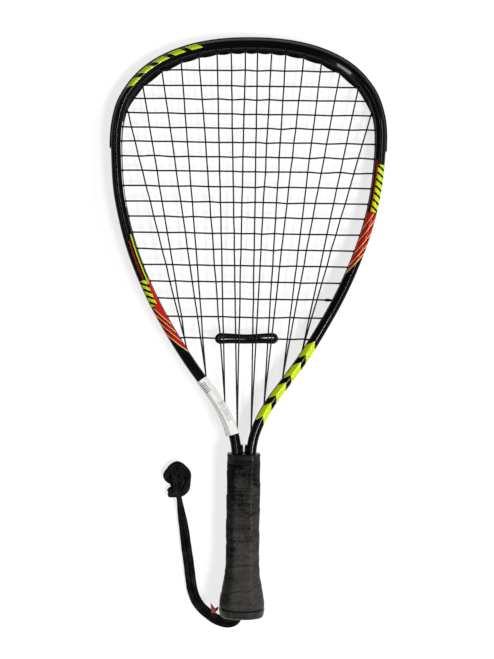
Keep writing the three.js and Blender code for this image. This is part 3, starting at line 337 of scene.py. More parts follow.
def off_rail(distance, out, up):
    """The point out from the rail by out and up from the string plane by up, all broadcast."""
    mirror, x, y, dx, dy = rail_at(distance)
    x, y = as_strung(mirror * (x - dy * out), y + dx * out)
    return np.stack(np.broadcast_arrays(x, y, up + 0 * x), -1)


def sweep(section, places):
    """A section of (out, up) points carried along the rail. It may differ from place to place."""
    section = np.broadcast_to(section, (len(places), *section.shape[-2:]))
    return off_rail(places[:, None], section[..., 0], section[..., 1])


def rail_where(height, low, high, out=0.0):
    """The distance between two others where the line out from the rail by out has a height, before
    the hoop goes out of true. The line only falls there."""
    reach = np.linspace(low, high, 4000)
    _, _, y, dx, _ = rail_at(reach)
    return np.interp(-np.asarray(height, float), -(y + dx * out), reach)


def head_holes():
    """The distances of the mains' holes in the head, whose mouths lie at shares of TOP_REACH."""
    reach = np.linspace(0, WIDEST_DISTANCE, 4000)
    _, x, _, _, dy = rail_at(reach)
    return np.interp(MAIN_TOP_SHARES * TOP_REACH, x - dy * MOUTH, reach)


WIDEST_DISTANCE = float(rail_where(WIDEST + 1e-3, 0, RAIL_LENGTH))
SHAFT_DISTANCE = float(rail_where(SHAFT_TOP, 0, RAIL_LENGTH))
MAIN_TOPS = head_holes()
PAIRS = rail_where(PAIR_HEIGHTS, WIDEST_DISTANCE, SHAFT_DISTANCE, MOUTH)
CROSS_HEIGHTS = FIRST_CROSS + (LAST_CROSS - FIRST_CROSS) * CROSS_SHARES
CROSSES = rail_where(CROSS_HEIGHTS, 0, SHAFT_DISTANCE, MOUTH)
BUMPER_END = CROSSES[BUMPER_LAST_CROSS - 1 : BUMPER_LAST_CROSS + 1].mean()

# Finishes


def add_node(tree, kind, **inputs):
    """A new node of a kind. Its inputs are set, or linked where they are given a socket."""
    made = tree.nodes.new("ShaderNode" + kind)
    for name, value in inputs.items():
        fill(tree, made.inputs[name], value)
    return made


def fill(tree, slot, value):
    """Links a socket or a term to a slot, or sets the slot to a number, a vector or a colour."""
    value = getattr(value, "socket", value)
    if isinstance(value, bpy.types.NodeSocket):
        tree.links.new(value, slot)
    else:
        slot.default_value = (*value, 1) if slot.type == "RGBA" else value


def sum_of(kind):
    """A term's method that does one kind of sum with it and what it is given."""

    def method(self, *others):
        node = add_node(self.tree, "Math")
        node.operation = kind
        for slot, value in zip(node.inputs, [self, *others]):
            fill(self.tree, slot, value)
        return Term(self.tree, node.outputs[0])

    return method


class Term:
    """A number that a material works out at each place, with the usual sums on it."""

    __add__ = __radd__ = sum_of("ADD")
    __mul__ = __rmul__ = sum_of("MULTIPLY")
    __sub__, __truediv__ = sum_of("SUBTRACT"), sum_of("DIVIDE")
    fract, sine, size = sum_of("FRACT"), sum_of("SINE"), sum_of("ABSOLUTE")
    above, below = sum_of("GREATER_THAN"), sum_of("LESS_THAN")
    most, power = sum_of("MAXIMUM"), sum_of("POWER")

    def __init__(self, tree, socket):
        self.tree, self.socket = tree, socket

    def __rsub__(self, other):
        return self * -1 + other

    def between(self, low, high):
        """One between two edges, else nought."""
        return self.above(low) * self.below(high)


# The sockets of a mix node that carry its two colours and the mixed one
MIX_UNDER, MIX_OVER, MIXED = 6, 7, 2


class Finish:
    """A material being made round one Principled shader, whose sockets take the constants."""

    def __init__(self, name, colour, roughness, **constants):
        self.material = bpy.data.materials.new(name)
        self.material.use_nodes = True
        self.tree = self.material.node_tree
        self.slots = self.tree.nodes["Principled BSDF"].inputs
        for socket, value in {"Base_Color": colour, "Roughness": roughness, **constants}.items():
            fill(self.tree, self.slots[socket.replace("_", " ")], value)

    def chart(self):
        """The piece's own chart as two terms."""
        chart = add_node(self.tree, "UVMap")
        chart.uv_map = "Chart"
        split = add_node(self.tree, "SeparateXYZ", Vector=chart.outputs["UV"])
        return Term(self.tree, split.outputs[0]), Term(self.tree, split.outputs[1])

    def place(self):
        """The object coordinates' socket."""
        return add_node(self.tree, "TexCoord").outputs["Object"]

    def noise(self, scale, detail=4.0, stretch=(1, 1, 1)):
        """Smooth random grain of that many lumps to the metre."""
        place = add_node(self.tree, "Mapping", Vector=self.place(), Scale=stretch).outputs[0]
        grain = add_node(self.tree, "TexNoise", Vector=place, Scale=scale, Detail=detail)
        return Term(self.tree, grain.outputs[0])

    def cells(self, scale):
        """Distance to the nearest of many scattered points: small pebbles."""
        points = add_node(self.tree, "TexVoronoi", Vector=self.place(), Scale=scale)
        return Term(self.tree, points.outputs["Distance"])

    def mix(self, share, under, over):
        """A colour that goes from one to another by a share."""
        node = add_node(self.tree, "Mix")
        node.data_type = "RGBA"
        for slot, value in (("Factor", share), (MIX_UNDER, under), (MIX_OVER, over)):
            fill(self.tree, node.inputs[slot], value)
        return node.outputs[MIXED]

    def colour(self, share, under, over):
        """The piece's own colour goes from one to another by a share."""
        fill(self.tree, self.slots["Base Color"], self.mix(share, under, over))

    def roughness(self, term):
        """The piece's roughness is a term."""
        fill(self.tree, self.slots["Roughness"], term)

    def relief(self, height, depth, socket="Normal"):
        """Bumps of that depth in metres where the height goes from 0 to 1."""
        bump = add_node(self.tree, "Bump", Height=height, Distance=depth)
        fill(self.tree, self.slots[socket], bump.outputs["Normal"])


LIME = (0.6, 0.78, 0.006)
RED = (0.56, 0.007, 0.011)
ORANGE = (0.78, 0.028, 0.016)
GOLD = (0.95, 0.72, 0.22)
BLACK_PAINT = (0.0018, 0.0018, 0.002)
WALL_SHADES = (0.0008, 0.0008, 0.0009), (0.0028, 0.0028, 0.003)

# The chart across the tube's section: where its faces start after the groove's sides, and where
# its inner wall starts
CHART_FACE = TUBE_DEEP - TUBE_CHAMFER - GROOVE_HALF
CHART_WALL = 15.7

# Lime bars: from and to along the rail, from and to across it, how many, the share of each that
# is filled, their slant, and whether the slant turns round at the middle to make arrow heads
LIME_BARS = [
    (-131, -47, 4.4, 11.3, 5, 0.66, -0.9, False),
    (383, 478, 3.9, 15.4, 4, 0.64, -1.25, True),
    (201, 247, 3.9, 12.2, 7, 0.62, 0.5, False),
    (-346, -319, 5, 12.4, 4, 0.56, 0.8, False),
]

# Pinstripes: how far in from a panel's slanted edge each starts, how wide they are, and how wide
# the black wedge before each is at the groove's side and how much it narrows across
RIGHT_STRIPES, LEFT_STRIPES = (4.3, 9.6, 16.0, 22.0), (5.4, 9.9, 14.2)
EDGE_STRIPE, STRIPE = 0.85, 0.75
WEDGE, WEDGE_NARROWS = 2.3, 0.15


def racing_paint():
    """Clear-coated black with lime bars and arrow heads, and red panels with gold pinstripes.

    The chart's u is the distance along the rail and its v the distance across the section, from
    the string groove over the top or the underside to the middle of the inner wall."""
    coat = {"Coat_Weight": 0.55, "Coat_Roughness": 0.05, "Coat_IOR": 1.5}
    paint = Finish("racing_paint", BLACK_PAINT, 0.3, Specular_IOR_Level=0.12, **coat)
    reach, across = paint.chart()
    reach_left = reach * -1

    def bars(start, end, low, high, count, filled, slant, folded):
        """Bars between two distances and two places across, slanted by the place across."""
        aside = (across - (low + high) / 2).size() if folded else across - low
        cell = (reach + aside * slant - start) * (count / (end - start))
        return cell.fract().below(filled) * reach.between(start, end) * across.between(low, high)

    def slanted(distance, start, slope):
        """How far in from a slanted edge, which meets the groove's side at a start."""
        return across - CHART_FACE - (distance - start) * slope

    def pinstripes(slant, steps, panel):
        """Gold lines at the slanted edge and inside it, each with a black wedge on its outer side
        that narrows inwards."""
        lines, dark = slant.between(0, EDGE_STRIPE), slant.below(0)
        for step in steps:
            lines = lines.most(slant.between(step, step + STRIPE))
            wedge = slant - step + WEDGE - (across - CHART_FACE) * WEDGE_NARROWS
            dark = dark.most(slant.below(step) * wedge.above(0))
        return lines * panel, dark * panel

    lime = reach.between(-324, -273) * across.between(12.9, 14.3)
    for row in LIME_BARS:
        lime = lime.most(bars(*row))

    right_slant = slanted(reach, 287, 0.48)
    left_slant = slanted(reach_left, 374.5, 0.46)
    right_panel = right_slant.above(0) * reach.between(248, 325)
    left_end = (across - CHART_WALL + 1.5 + (reach_left - 316) * 0.13).above(0)
    left_end = left_end.most((across * 0.4 - reach).above(350))
    left_panel = left_slant.above(0) * reach.between(-410, -318) * left_end
    thin_right = (across - 12.9 + (reach - 222) * 0.02).size().below(0.6) * reach.between(196, 249)
    thin_left = across.between(9.4, 10.6) * reach.between(-318, -279)
    dashes = (reach * 0.42).fract().below(0.7)
    red = right_panel.most(left_panel).most(thin_right).most(thin_left * dashes)

    right_gold, right_dark = pinstripes(right_slant, RIGHT_STRIPES, right_panel)
    left_gold, left_dark = pinstripes(left_slant, LEFT_STRIPES, left_panel)
    surface = paint.mix(paint.noise(60, 2) * 1.2 - 0.4, RED, ORANGE)
    surface = paint.mix(red, BLACK_PAINT, surface)
    surface = paint.mix(right_dark.most(left_dark), surface, BLACK_PAINT)
    surface = paint.mix(right_gold.most(left_gold), surface, GOLD)
    paint.colour(lime, surface, LIME)
    paint.roughness((paint.noise(900, 3, (1, 0.12, 1)) - 0.5) * 0.16 + 0.24)
    paint.relief(paint.noise(120, 2), 0.00004, "Coat Normal")
    return paint.material


def thin_paint():
    """The tube's inner wall: the same black where less lacquer reached, so duller and uneven."""
    paint = Finish("thin_paint", BLACK_PAINT, 0.5, Specular_IOR_Level=0.01)
    paint.colour(paint.noise(300, 4), *WALL_SHADES)
    paint.roughness(paint.noise(160, 3) * 0.3 + 0.35)
    paint.relief(paint.noise(700, 3), 0.00006)
    return paint.material


def polished_paint():
    """The same black under a full, smooth coat, where the inner wall was buffed."""
    coat = {"Specular_IOR_Level": 1.0, "Coat_Weight": 1.0, "Coat_Roughness": 0.03}
    paint = Finish("polished_paint", BLACK_PAINT, 0.08, **coat)
    paint.colour(paint.noise(300, 4), *WALL_SHADES)
    paint.roughness(paint.noise(200) * 0.1 + 0.04)
    return paint.material


def moulded_plastic():
    """Black nylon as it leaves the mould: a fine even grain, and a duller bloom here and there."""
    plastic = Finish("moulded_plastic", (0.002, 0.002, 0.002), 0.36, Specular_IOR_Level=0.05)
    plastic.colour(plastic.noise(90), (0.0007, 0.0007, 0.0008), (0.003, 0.003, 0.0032))
    plastic.roughness(plastic.noise(240) * 0.16 + 0.18)
    plastic.relief(plastic.noise(2600, 3), 0.00005)
    return plastic.material


def string_nylon():
    """Black monofilament with a soft shine and faint ribs along it."""
    nylon = Finish("string_nylon", (0.003, 0.003, 0.003), 0.4, Specular_IOR_Level=0.25)
    length, around = nylon.chart()
    nylon.colour(nylon.noise(350), (0.002, 0.002, 0.002), (0.011, 0.0108, 0.0104))
    nylon.roughness(nylon.noise(500) * 0.2 + 0.35)
    nylon.relief((length * 2.4 + around * 6.283).sine() * 0.5 + 0.5, 0.00002)
    return nylon.material


def black_rubber(name, colour, roughness):
    """Moulded rubber: near black, a fine grain and dusty high spots."""
    rubber = Finish(name, colour, roughness, Specular_IOR_Level=0.22)
    rubber.colour(rubber.noise(420, 5), colour, [2.1 * part for part in colour])
    rubber.roughness(rubber.noise(300) * 0.22 + (roughness - 0.11))
    rubber.relief(rubber.noise(3200, 4), 0.00006)
    return rubber.material


def grip_tape():
    """Worn charcoal grip tape: pebbled, and shiny where hands polish it. Its colour is paler where
    the wrinkles rise and towards the butt, and painted shade darkens its left bevel. The chart's u
    is the height and its v goes 100 round, from the right."""
    coat = {"Specular_IOR_Level": 0.04, "Coat_Weight": 0.06, "Coat_Roughness": 0.3}
    tape = Finish("grip_tape", (0.01, 0.0096, 0.0092), 0.5, **coat)
    height, around = tape.chart()
    # Painted shade: this mask darkens the left bevel, about 40 of the 100 round.
    left_bevel_painted_shade = (1 - (around - 40).size() * 0.08).most(0)
    wrinkles = tape.noise(150, 4, (0.3, 2.3, 1))
    # The colour's share: random grain, paler where the wrinkles rise and towards the butt, less the
    # painted shade on the left bevel.
    tone_and_painted_shade = tape.noise(75, 6) * 1.6 + tape.noise(420, 3) * 1.3 + wrinkles * 1.3 - 1.62
    tone_and_painted_shade = tone_and_painted_shade + (110 - height) * 0.006 - left_bevel_painted_shade * 0.55
    tape.colour(tone_and_painted_shade, (0.0016, 0.0015, 0.0014), (0.05, 0.0475, 0.043))
    tape.roughness(tape.noise(130, 4) * 0.5 + 0.13)
    pebbles = tape.cells(1500) * 0.5 + tape.noise(700, 5) * 0.5
    creases = tape.noise(210, 6, (0.75, 1.3, 1)) + wrinkles * 0.8
    tape.relief(pebbles * 0.3 + creases, 0.0013)
    return tape.material


def braided_cord():
    """Black braid: yarns cross in two directions, u along the cord and v round it. Its colour
    carries a painted highlight on the yarns' crests and painted shade between them.
    """
    cord = Finish("braided_cord", (0.01, 0.0098, 0.009), 0.86, Specular_IOR_Level=0.1)
    length, around = cord.chart()
    along_cord, round_cord = length * 1.85, around * 31.42
    yarns = (along_cord + round_cord).sine() * (along_cord - round_cord).sine() * 0.5 + 0.5
    fuzz = cord.noise(1800, 5)
    # Painted highlight on the yarns' crests and painted shade between them, with random fuzz and
    # tone.
    pale = yarns.power(2.2) * 0.95 + fuzz * 0.4 + cord.noise(120, 3) * 1.8 - 1.22
    cord.colour(pale, (0.0004, 0.0004, 0.0003), (0.052, 0.053, 0.045))
    cord.relief(yarns + fuzz * 0.4, 0.0011)
    return cord.material


def label_paper():
    """White paper with a faint fibre and a few plain grey bars."""
    paper = Finish("label_paper", (0.74, 0.74, 0.72), 0.62)
    reach, across = paper.chart()
    bars = reach.between(-442, -432) * across.between(4.5, 11.5)
    bars = bars * (reach * 0.55).fract().below(0.45)
    rows = reach.between(-476, -455) * across.between(9, 14.5)
    rows = rows * (reach * 0.9).fract().below(0.36)
    ink = bars.most(rows * paper.noise(900, 1).above(0.44))
    fibre = paper.mix(paper.noise(300, 5), (0.82, 0.82, 0.79), (0.93, 0.93, 0.9))
    paper.colour(ink * 0.92, fibre, (0.05, 0.05, 0.05))
    paper.relief(paper.noise(90, 3), 0.0003)
    return paper.material


def plain_finish(name, dark, light, roughness, metallic=0.0, scale=400.0):
    """A finish of two close shades with its own grain."""
    made = Finish(name, dark, roughness, Metallic=metallic)
    made.colour(made.noise(scale, 5), dark, light)
    made.roughness(made.noise(scale / 2) * 0.2 + (roughness - 0.1))
    made.relief(made.noise(scale * 3, 4), 0.00008)
    return made.material


PAINT = racing_paint()
INNER_PAINT = thin_paint()
POLISHED_PAINT = polished_paint()
PLASTIC = moulded_plastic()
NYLON = string_nylon()
DAMPENER_RUBBER = black_rubber("dampener_rubber", (0.0011, 0.0011, 0.0011), 0.36)
COLLAR_RUBBER = black_rubber("collar_rubber", (0.0028, 0.003, 0.0028), 0.36)
# The rim's rubber is much paler than the collar's: a painted sheen on black rubber.
SHEEN_PAINTED_RIM_RUBBER = black_rubber("rim_rubber_painted_sheen", (0.015, 0.015, 0.0142), 0.36)
GRIP = grip_tape()
CORD = braided_cord()
PAPER = label_paper()
RED_CARD = plain_finish("red_card", (0.23, 0.012, 0.016), (0.42, 0.04, 0.05), 0.6)
FOAM = plain_finish("core_foam", (0.5, 0.45, 0.33), (0.62, 0.56, 0.42), 0.9, scale=900.0)
STEEL = plain_finish("tack_steel", (0.42, 0.42, 0.42), (0.56, 0.56, 0.56), 0.34, 1.0)
VINYL = plain_finish("tape_vinyl", (0.008, 0.008, 0.009), (0.014, 0.014, 0.015), 0.4)

# Frame

SIDES = ((-1, "left"), (1, "right"))
WALL_HALF = 2.5

# The inner wall's swell between the mains: at least, how much more, and the distance it fades over
SWELL_LEAST, SWELL_MORE, SWELL_FADE = 0.7, 1.5, 40

# The buffed part of the inner wall: above this height and between these distances
BUFFED_ABOVE, BUFFED_FROM, BUFFED_TO = 1.4, -246, -163


def face_chart(out):
    """The place across a face, in proportion to how far in from the tube's outer side it is."""
    return CHART_FACE + (TUBE_HALF - out) / (2 * TUBE_HALF) * (CHART_WALL - CHART_FACE)


def across_chart(section):
    """The place across a closed section, from its groove over either face to the inner wall."""
    closed = np.concatenate([section, section[:1]])
    out, up = closed[:, 0], np.abs(closed[:, 1])
    side = TUBE_DEEP - TUBE_CHAMFER
    groove_side = np.clip(up - GROOVE_HALF, 0, CHART_FACE)
    wall = CHART_WALL + side - np.clip(up, 0, side)
    chart = np.where(out < 0.01 - TUBE_HALF, wall, face_chart(out))
    return np.where(out > TUBE_HALF - 0.01, groove_side, chart)


def tube_section():
    """The tube's (out, up) outline: a box with softened chamfers and a string groove."""
    deep, cut, half = TUBE_DEEP, TUBE_CHAMFER, TUBE_HALF
    floor, wide = half - GROOVE_DEPTH, cut + 1
    upper = [[half, GROOVE_HALF], [half, deep - cut], [half - wide, deep], [wide - half, deep]]
    upper += [[-half, deep - cut], [-half, WALL_HALF], [-half, -WALL_HALF]]
    lower = [[-half, cut - deep], [wide - half, -deep], [half - wide, -deep], [half, cut - deep]]
    lower += [[half, -GROOVE_HALF], [floor, -GROOVE_HALF], [floor, GROOVE_HALF]]
    setback = np.array([0.3, 1.6, 2.1, 1.7, 0.9, 1, 1, 0.9, 1.7, 2.1, 1.6, 0.3, 0.3, 0.3])
    return rounded(np.array(upper + lower, float), setback, 6)


def paint_walls(mesh, section, places):
    """The inner wall's faces take the thin paint, and the left one's buffed part the polished.
    The tube's ends are its last two faces, and stay as they are."""
    chart = np.empty(2 * len(mesh.loops), np.float32)
    mesh.uv_layers["Chart"].uv.foreach_get("vector", chart)
    starts = np.empty(len(mesh.polygons), int)
    mesh.polygons.foreach_get("loop_start", starts)
    finish = (np.minimum.reduceat(chart[1::2], starts) > CHART_WALL - 0.1).astype(np.int32)
    ring, place = np.divmod(np.arange(len(finish) - 2), len(section))
    height = (section[:, 1] + np.roll(section[:, 1], -1)) / 2
    buffed = (places[ring] > BUFFED_FROM) & (places[ring] < BUFFED_TO)
    finish[:-2] += buffed & (height[place] > BUFFED_ABOVE) & (finish[:-2] == 1)
    mesh.materials.append(INNER_PAINT)
    mesh.materials.append(POLISHED_PAINT)
    mesh.polygons.foreach_set("material_index", finish)


def frame_tube():
    """The tube's section carried round the rail, with its finishes.

    On the head's inner wall the lower edge swells between the mains: its bulge is a share of
    |cos| of the count of mains passed, faded out towards the sides."""
    section = tube_section()
    near = np.linspace(0, SHAFT_DISTANCE, 360)
    half_run = np.concatenate([near, np.linspace(SHAFT_DISTANCE, RAIL_LENGTH, 12)[1:]])
    places = np.concatenate([-half_run[:0:-1], half_run])
    passed = np.concatenate([[0], np.arange(len(MAIN_TOPS)) + 0.5])
    count = np.interp(np.abs(places), np.concatenate([[0], MAIN_TOPS]), passed)
    fade = np.clip((MAIN_TOPS[-1] - np.abs(places)) / SWELL_FADE, 0, 1) ** 0.5
    swell = (SWELL_LEAST + SWELL_MORE * np.abs(np.cos(np.pi * count)) ** 0.6) * fade
    low = np.clip((-section[:, 1] - 1) / 6, 0, 1) * (section[:, 0] < 0)
    shaped = np.broadcast_to(section, (len(places), *section.shape)).copy()
    shaped[..., 0] -= swell[:, None] * low
    hoop = skin(lie_down(sweep(shaped, places)), (places, across_chart(section)))
    made = build("frame_hoop", [hoop], PAINT, ["frame_tube"])
    paint_walls(made.data, section, places)


def barrels(holes, rises):
    """Grommet barrels: a rounded ring profile turned about each hole, closed inside the tube."""
    profile = np.array(
        [[BARREL, -4.5], [BARREL, -5.2], [1.18, -5.5], [0.95, -5.58], [0.8, -5.5], [0.8, -4.5]]
    )
    turn = once_round(12)[:, None]
    mirror, x, _, dx, dy = rail_at(holes)
    forward = np.stack([dx, mirror * dy, 0 * x], -1)
    skins = []
    for hole, rise, way in zip(holes, rises, forward):
        middle = off_rail(hole, profile[:, 1], rise)
        ring = way * np.cos(turn) + UP * np.sin(turn)
        grid = middle[:, None] + profile[:, 0][:, None, None] * ring
        skins.append(skin(lie_down(grid), closed=True))
    return skins


def strip_run(section, start, end, count, name, stands_for, holes, rises):
    """A plastic strip: its section carried between two distances, with barrels at its holes."""
    places = np.linspace(start, end, count)
    skins = [skin(lie_down(sweep(section, places)))] + barrels(holes, rises)
    build(name, skins, PLASTIC, [stands_for])


def grommet_strips():
    """A flat strip in the groove of each side, with a barrel at each of its holes."""
    corners = [[STRIP_FACE, STRIP_HALF], [STRIP_FLOOR, STRIP_HALF]]
    corners += [[STRIP_FLOOR, -STRIP_HALF], [STRIP_FACE, -STRIP_HALF]]
    section = rounded(np.array(corners, float), 0.3, 3)
    crosses = CROSSES[CROSSES > BUMPER_END]
    holes = np.concatenate([crosses, PAIRS, PAIRS])
    rises = np.concatenate([0 * crosses - HOLE_RISE, 0 * PAIRS + PAIR_RISE, 0 * PAIRS - PAIR_RISE])
    for side, name in SIDES:
        start, end = side * (BUMPER_END + 0.3), side * (PAIRS[0] + 6)
        node = "grommet_strip_" + name
        strip_run(section, start, end, 150, "side_strip_" + name, node, side * holes, rises)


def bumper():
    """The head's guard: a strip in the groove with a crowned face standing out past the tube."""
    face, flange, edge, channel = TUBE_HALF + PROUD, TUBE_HALF + 0.12, 7.0, 2.1
    upper = [[face - 0.1, channel], [face, channel + 1], [face, edge - 1.4], [flange, edge]]
    upper += [[flange, STRIP_HALF], [STRIP_FLOOR, STRIP_HALF]]
    lower = [[x, -y] for x, y in upper[::-1]]
    channel_floor = [[STRIP_FACE, -channel], [STRIP_FACE, channel]]
    section = rounded(np.array(upper + lower + channel_floor, float), 0.5, 4)
    crosses = CROSSES[CROSSES < BUMPER_END]
    half_holes = np.concatenate([crosses, MAIN_TOPS])
    holes = np.concatenate([-half_holes, half_holes])
    rises = np.concatenate([0 * crosses - HOLE_RISE, 0 * MAIN_TOPS + HOLE_RISE] * 2)
    start, end = -BUMPER_END, BUMPER_END
    strip_run(section, start, end, 320, "head_guard", "head_bumper", holes, rises)


# Strings: mains are numbered from the left and crosses from the tip. MOUTH, HOLE_RISE and
# PAIR_RISE place the mouths of their holes, and SPARE is how far they go on into the tube.

HALF_MAINS = len(MAIN_TOPS)
MAIN_NUMBER, CROSS_NUMBER = np.arange(2 * HALF_MAINS), np.arange(len(CROSSES))
FROM_MIDDLE = np.concatenate([np.arange(HALF_MAINS)[::-1], np.arange(HALF_MAINS)])
MAIN_SIDES = np.repeat([-1, 1], HALF_MAINS)
MAIN_TOP_AT = MAIN_SIDES * MAIN_TOPS[FROM_MIDDLE]
END_RISE = np.where(MAIN_NUMBER % 2, PAIR_RISE, -PAIR_RISE)
MAIN_TOP = off_rail(MAIN_TOP_AT, MOUTH, HOLE_RISE)
MAIN_END = off_rail(MAIN_SIDES * PAIRS[FROM_MIDDLE // 2], MOUTH, END_RISE)
CROSS_LEFT = off_rail(-CROSSES, MOUTH, -HOLE_RISE)
CROSS_RIGHT = off_rail(CROSSES, MOUTH, -HOLE_RISE)
TOUCHING = STRING + CROSS_STRING + 0.04
MOST_BEND = 0.8
MAIN_KINK, CROSS_KINK = 0.13, 0.2
SPARE = 5.0
TIE_OFF, TIE_OFF_SWELL = 6.4, 0.65

# The dampener: the mains it is woven into, how far they give way and how far from it, how the
# last cross lies at its ends and inside it, then its own ends, height, band and thickness, and
# the share it is nipped by in the middle, its waves' height and its rise from left to right
DAMPED = FROM_MIDDLE < 4
DAMPENER_RISE, BESIDE_DAMPENER = 1.85, 6.6
UNDER_DAMPENER, IN_DAMPENER = -1.75, 0.2
DAMPENER_LEFT, DAMPENER_RIGHT = -29.4, 31.6
DAMPENER_HEIGHT, DAMPENER_BAND, DAMPENER_THICK = 11.6, 4.1, 1.8
DAMPENER_NIP, DAMPENER_WAVE, DAMPENER_TILT = 0.34, 0.3, 0.9


def turned(a, b):
    """The flat cross product of two sets of directions."""
    return a[..., 0] * b[..., 1] - a[..., 1] * b[..., 0]


def meetings():
    """Where each cross and main meet, as shares of their lengths by two straight lines, and how
    far each rises there: a cross bends by at most 0.3 of the gap between the two mains of a
    pair, and the mains give way for the rest."""
    cross_way = (CROSS_RIGHT - CROSS_LEFT)[:, None, :2]
    main_way = (MAIN_TOP - MAIN_END)[None, :, :2]
    apart = MAIN_END[None, :, :2] - CROSS_LEFT[:, None, :2]
    along_cross = turned(apart, main_way) / turned(cross_way, main_way)
    along_main = turned(apart, cross_way) / turned(cross_way, main_way)
    met = (along_main > 0.001) & (along_main < 0.999) & (along_cross > 0) & (along_cross < 1)
    x = along_cross * cross_way[..., 0]
    gap = np.abs(x - x[:, MAIN_NUMBER ^ 1])
    bend = np.minimum(MOST_BEND, np.where(met[:, MAIN_NUMBER ^ 1], 0.3 * gap, MOST_BEND))
    over = np.where((MAIN_NUMBER[None] + CROSS_NUMBER[:, None]) % 2, 1, -1)
    return met, along_cross, along_main, over * bend, -over * (TOUCHING - bend)


MET, ON_CROSS, ON_MAIN, CROSS_RISE, MAIN_RISE = meetings()


def woven(start, end, shares, rises, kinks, steps):
    """A string from mouth to mouth and on into the tube. It is straight from above but for small
    kinks where it meets the others, and goes up and down in cosine steps between them."""
    length = np.linalg.norm((end - start)[:2])
    way = (end - start)[:2] / length
    run = np.concatenate([[-SPARE], np.linspace(0, length, steps), [length + SPARE]])
    knots = np.concatenate([[0], shares * length, [length]])
    height = wave_through(run, knots, np.concatenate([start[2:], rises, end[2:]]))
    aside = wave_through(run, knots, np.concatenate([[0], kinks, [0]]))
    plan = start[:2] + run[:, None] * way + aside[:, None] * [-way[1], way[0]]
    return np.column_stack([plan, height])


def string_skin(line, radius=STRING, sides=8):
    """A length of string as a skin in row metres."""
    grid, chart = tube(line, radius, sides)
    return skin(lie_down(grid), chart)


def outside_loops(starts, ends, rise, turn_rise):
    """Loops in the groove: out of a hole, along the tube and into the next, by rounded corners."""
    skins, way_out = [], np.array([1.0, LOOP_OFFSET - 0.9])
    for start, end in zip(starts, ends):
        run = start + (end - start) * np.linspace(0.16, 0.84, 6)
        turn = off_rail(run, LOOP_OFFSET, turn_rise)
        line = [off_rail(start, way_out, rise), turn, off_rail(end, way_out[::-1], rise)]
        skins.append(string_skin(curve_through(np.concatenate(line), 3)))
    return skins


def main_strings():
    """Sixteen mains. The eight middle ones go over or under the dampener by DAMPENER_RISE."""
    skins, chance = [], np.random.default_rng(4)
    for i in MAIN_NUMBER:
        met = np.nonzero(MET[:, i])[0][::-1]
        shares, rises = ON_MAIN[met, i], MAIN_RISE[met, i]
        kinks = chance.normal(0, MAIN_KINK, len(met))
        if DAMPED[i]:
            length = np.linalg.norm((MAIN_TOP[i] - MAIN_END[i])[:2])
            beside = shares[0] + np.array([-BESIDE_DAMPENER, BESIDE_DAMPENER]) / length
            rise = DAMPENER_RISE if i % 2 else -DAMPENER_RISE
            shares = np.concatenate([beside, shares[1:]])
            rises = np.concatenate([[rise, rise], rises[1:]])
            kinks = np.concatenate([kinks[:1], kinks])
        skins.append(string_skin(woven(MAIN_END[i], MAIN_TOP[i], shares, rises, kinks, 130)))
    skins += outside_loops(MAIN_TOP_AT[1:-1:2], MAIN_TOP_AT[2::2], HOLE_RISE, LOOP_RISE)
    build("mains", skins, NYLON, ["main_string"], 60)


def tie_off(cross, end_share):
    """The lump of a tie-off beside the frame: a short tube that swells by a sine in its middle.
    end_share is 0 at the cross string's left end and 1 at its right."""
    share = np.linspace(0, 1, 9)[:, None]
    string = CROSS_RIGHT[cross] - CROSS_LEFT[cross]
    inward = unit(string) * (1 - 2 * end_share)
    line = CROSS_LEFT[cross] + string * end_share + inward * (0.4 + TIE_OFF * share)
    return string_skin(line, CROSS_STRING + TIE_OFF_SWELL * np.sin(np.pi * share) ** 0.5, 10)


def cross_strings():
    """Eighteen crosses. The last one runs inside the dampener, under both of its ends."""
    skins, chance = [tie_off(15, 1), tie_off(0, 0)], np.random.default_rng(9)
    for j in CROSS_NUMBER:
        met = MET[j]
        shares, rises = ON_CROSS[j, met], CROSS_RISE[j, met]
        kinks = chance.normal(0, CROSS_KINK, len(shares))
        if j == CROSS_NUMBER[-1]:
            width = CROSS_RIGHT[j, 0] - CROSS_LEFT[j, 0]
            ends = np.array([DAMPENER_LEFT + 2, DAMPENER_RIGHT - 2])
            shares = np.concatenate([shares, (ends - CROSS_LEFT[j, 0]) / width])
            inside = np.where(DAMPED[met], np.sign(rises) * IN_DAMPENER, rises)
            order = np.argsort(shares)
            shares = shares[order]
            rises = np.concatenate([inside, [UNDER_DAMPENER, UNDER_DAMPENER]])[order]
            kinks = np.concatenate([kinks, [0, 0]])[order]
        line = woven(CROSS_LEFT[j], CROSS_RIGHT[j], shares, rises, kinks, 150)
        skins.append(string_skin(line, CROSS_STRING))
    turns = np.where(CROSS_NUMBER % 2, -1, 1)[:-1]
    skins += outside_loops(turns * CROSSES[:-1], turns * CROSSES[1:], -HOLE_RISE, -LOOP_RISE)
    build("crosses", skins, NYLON, ["cross_string"], 60)


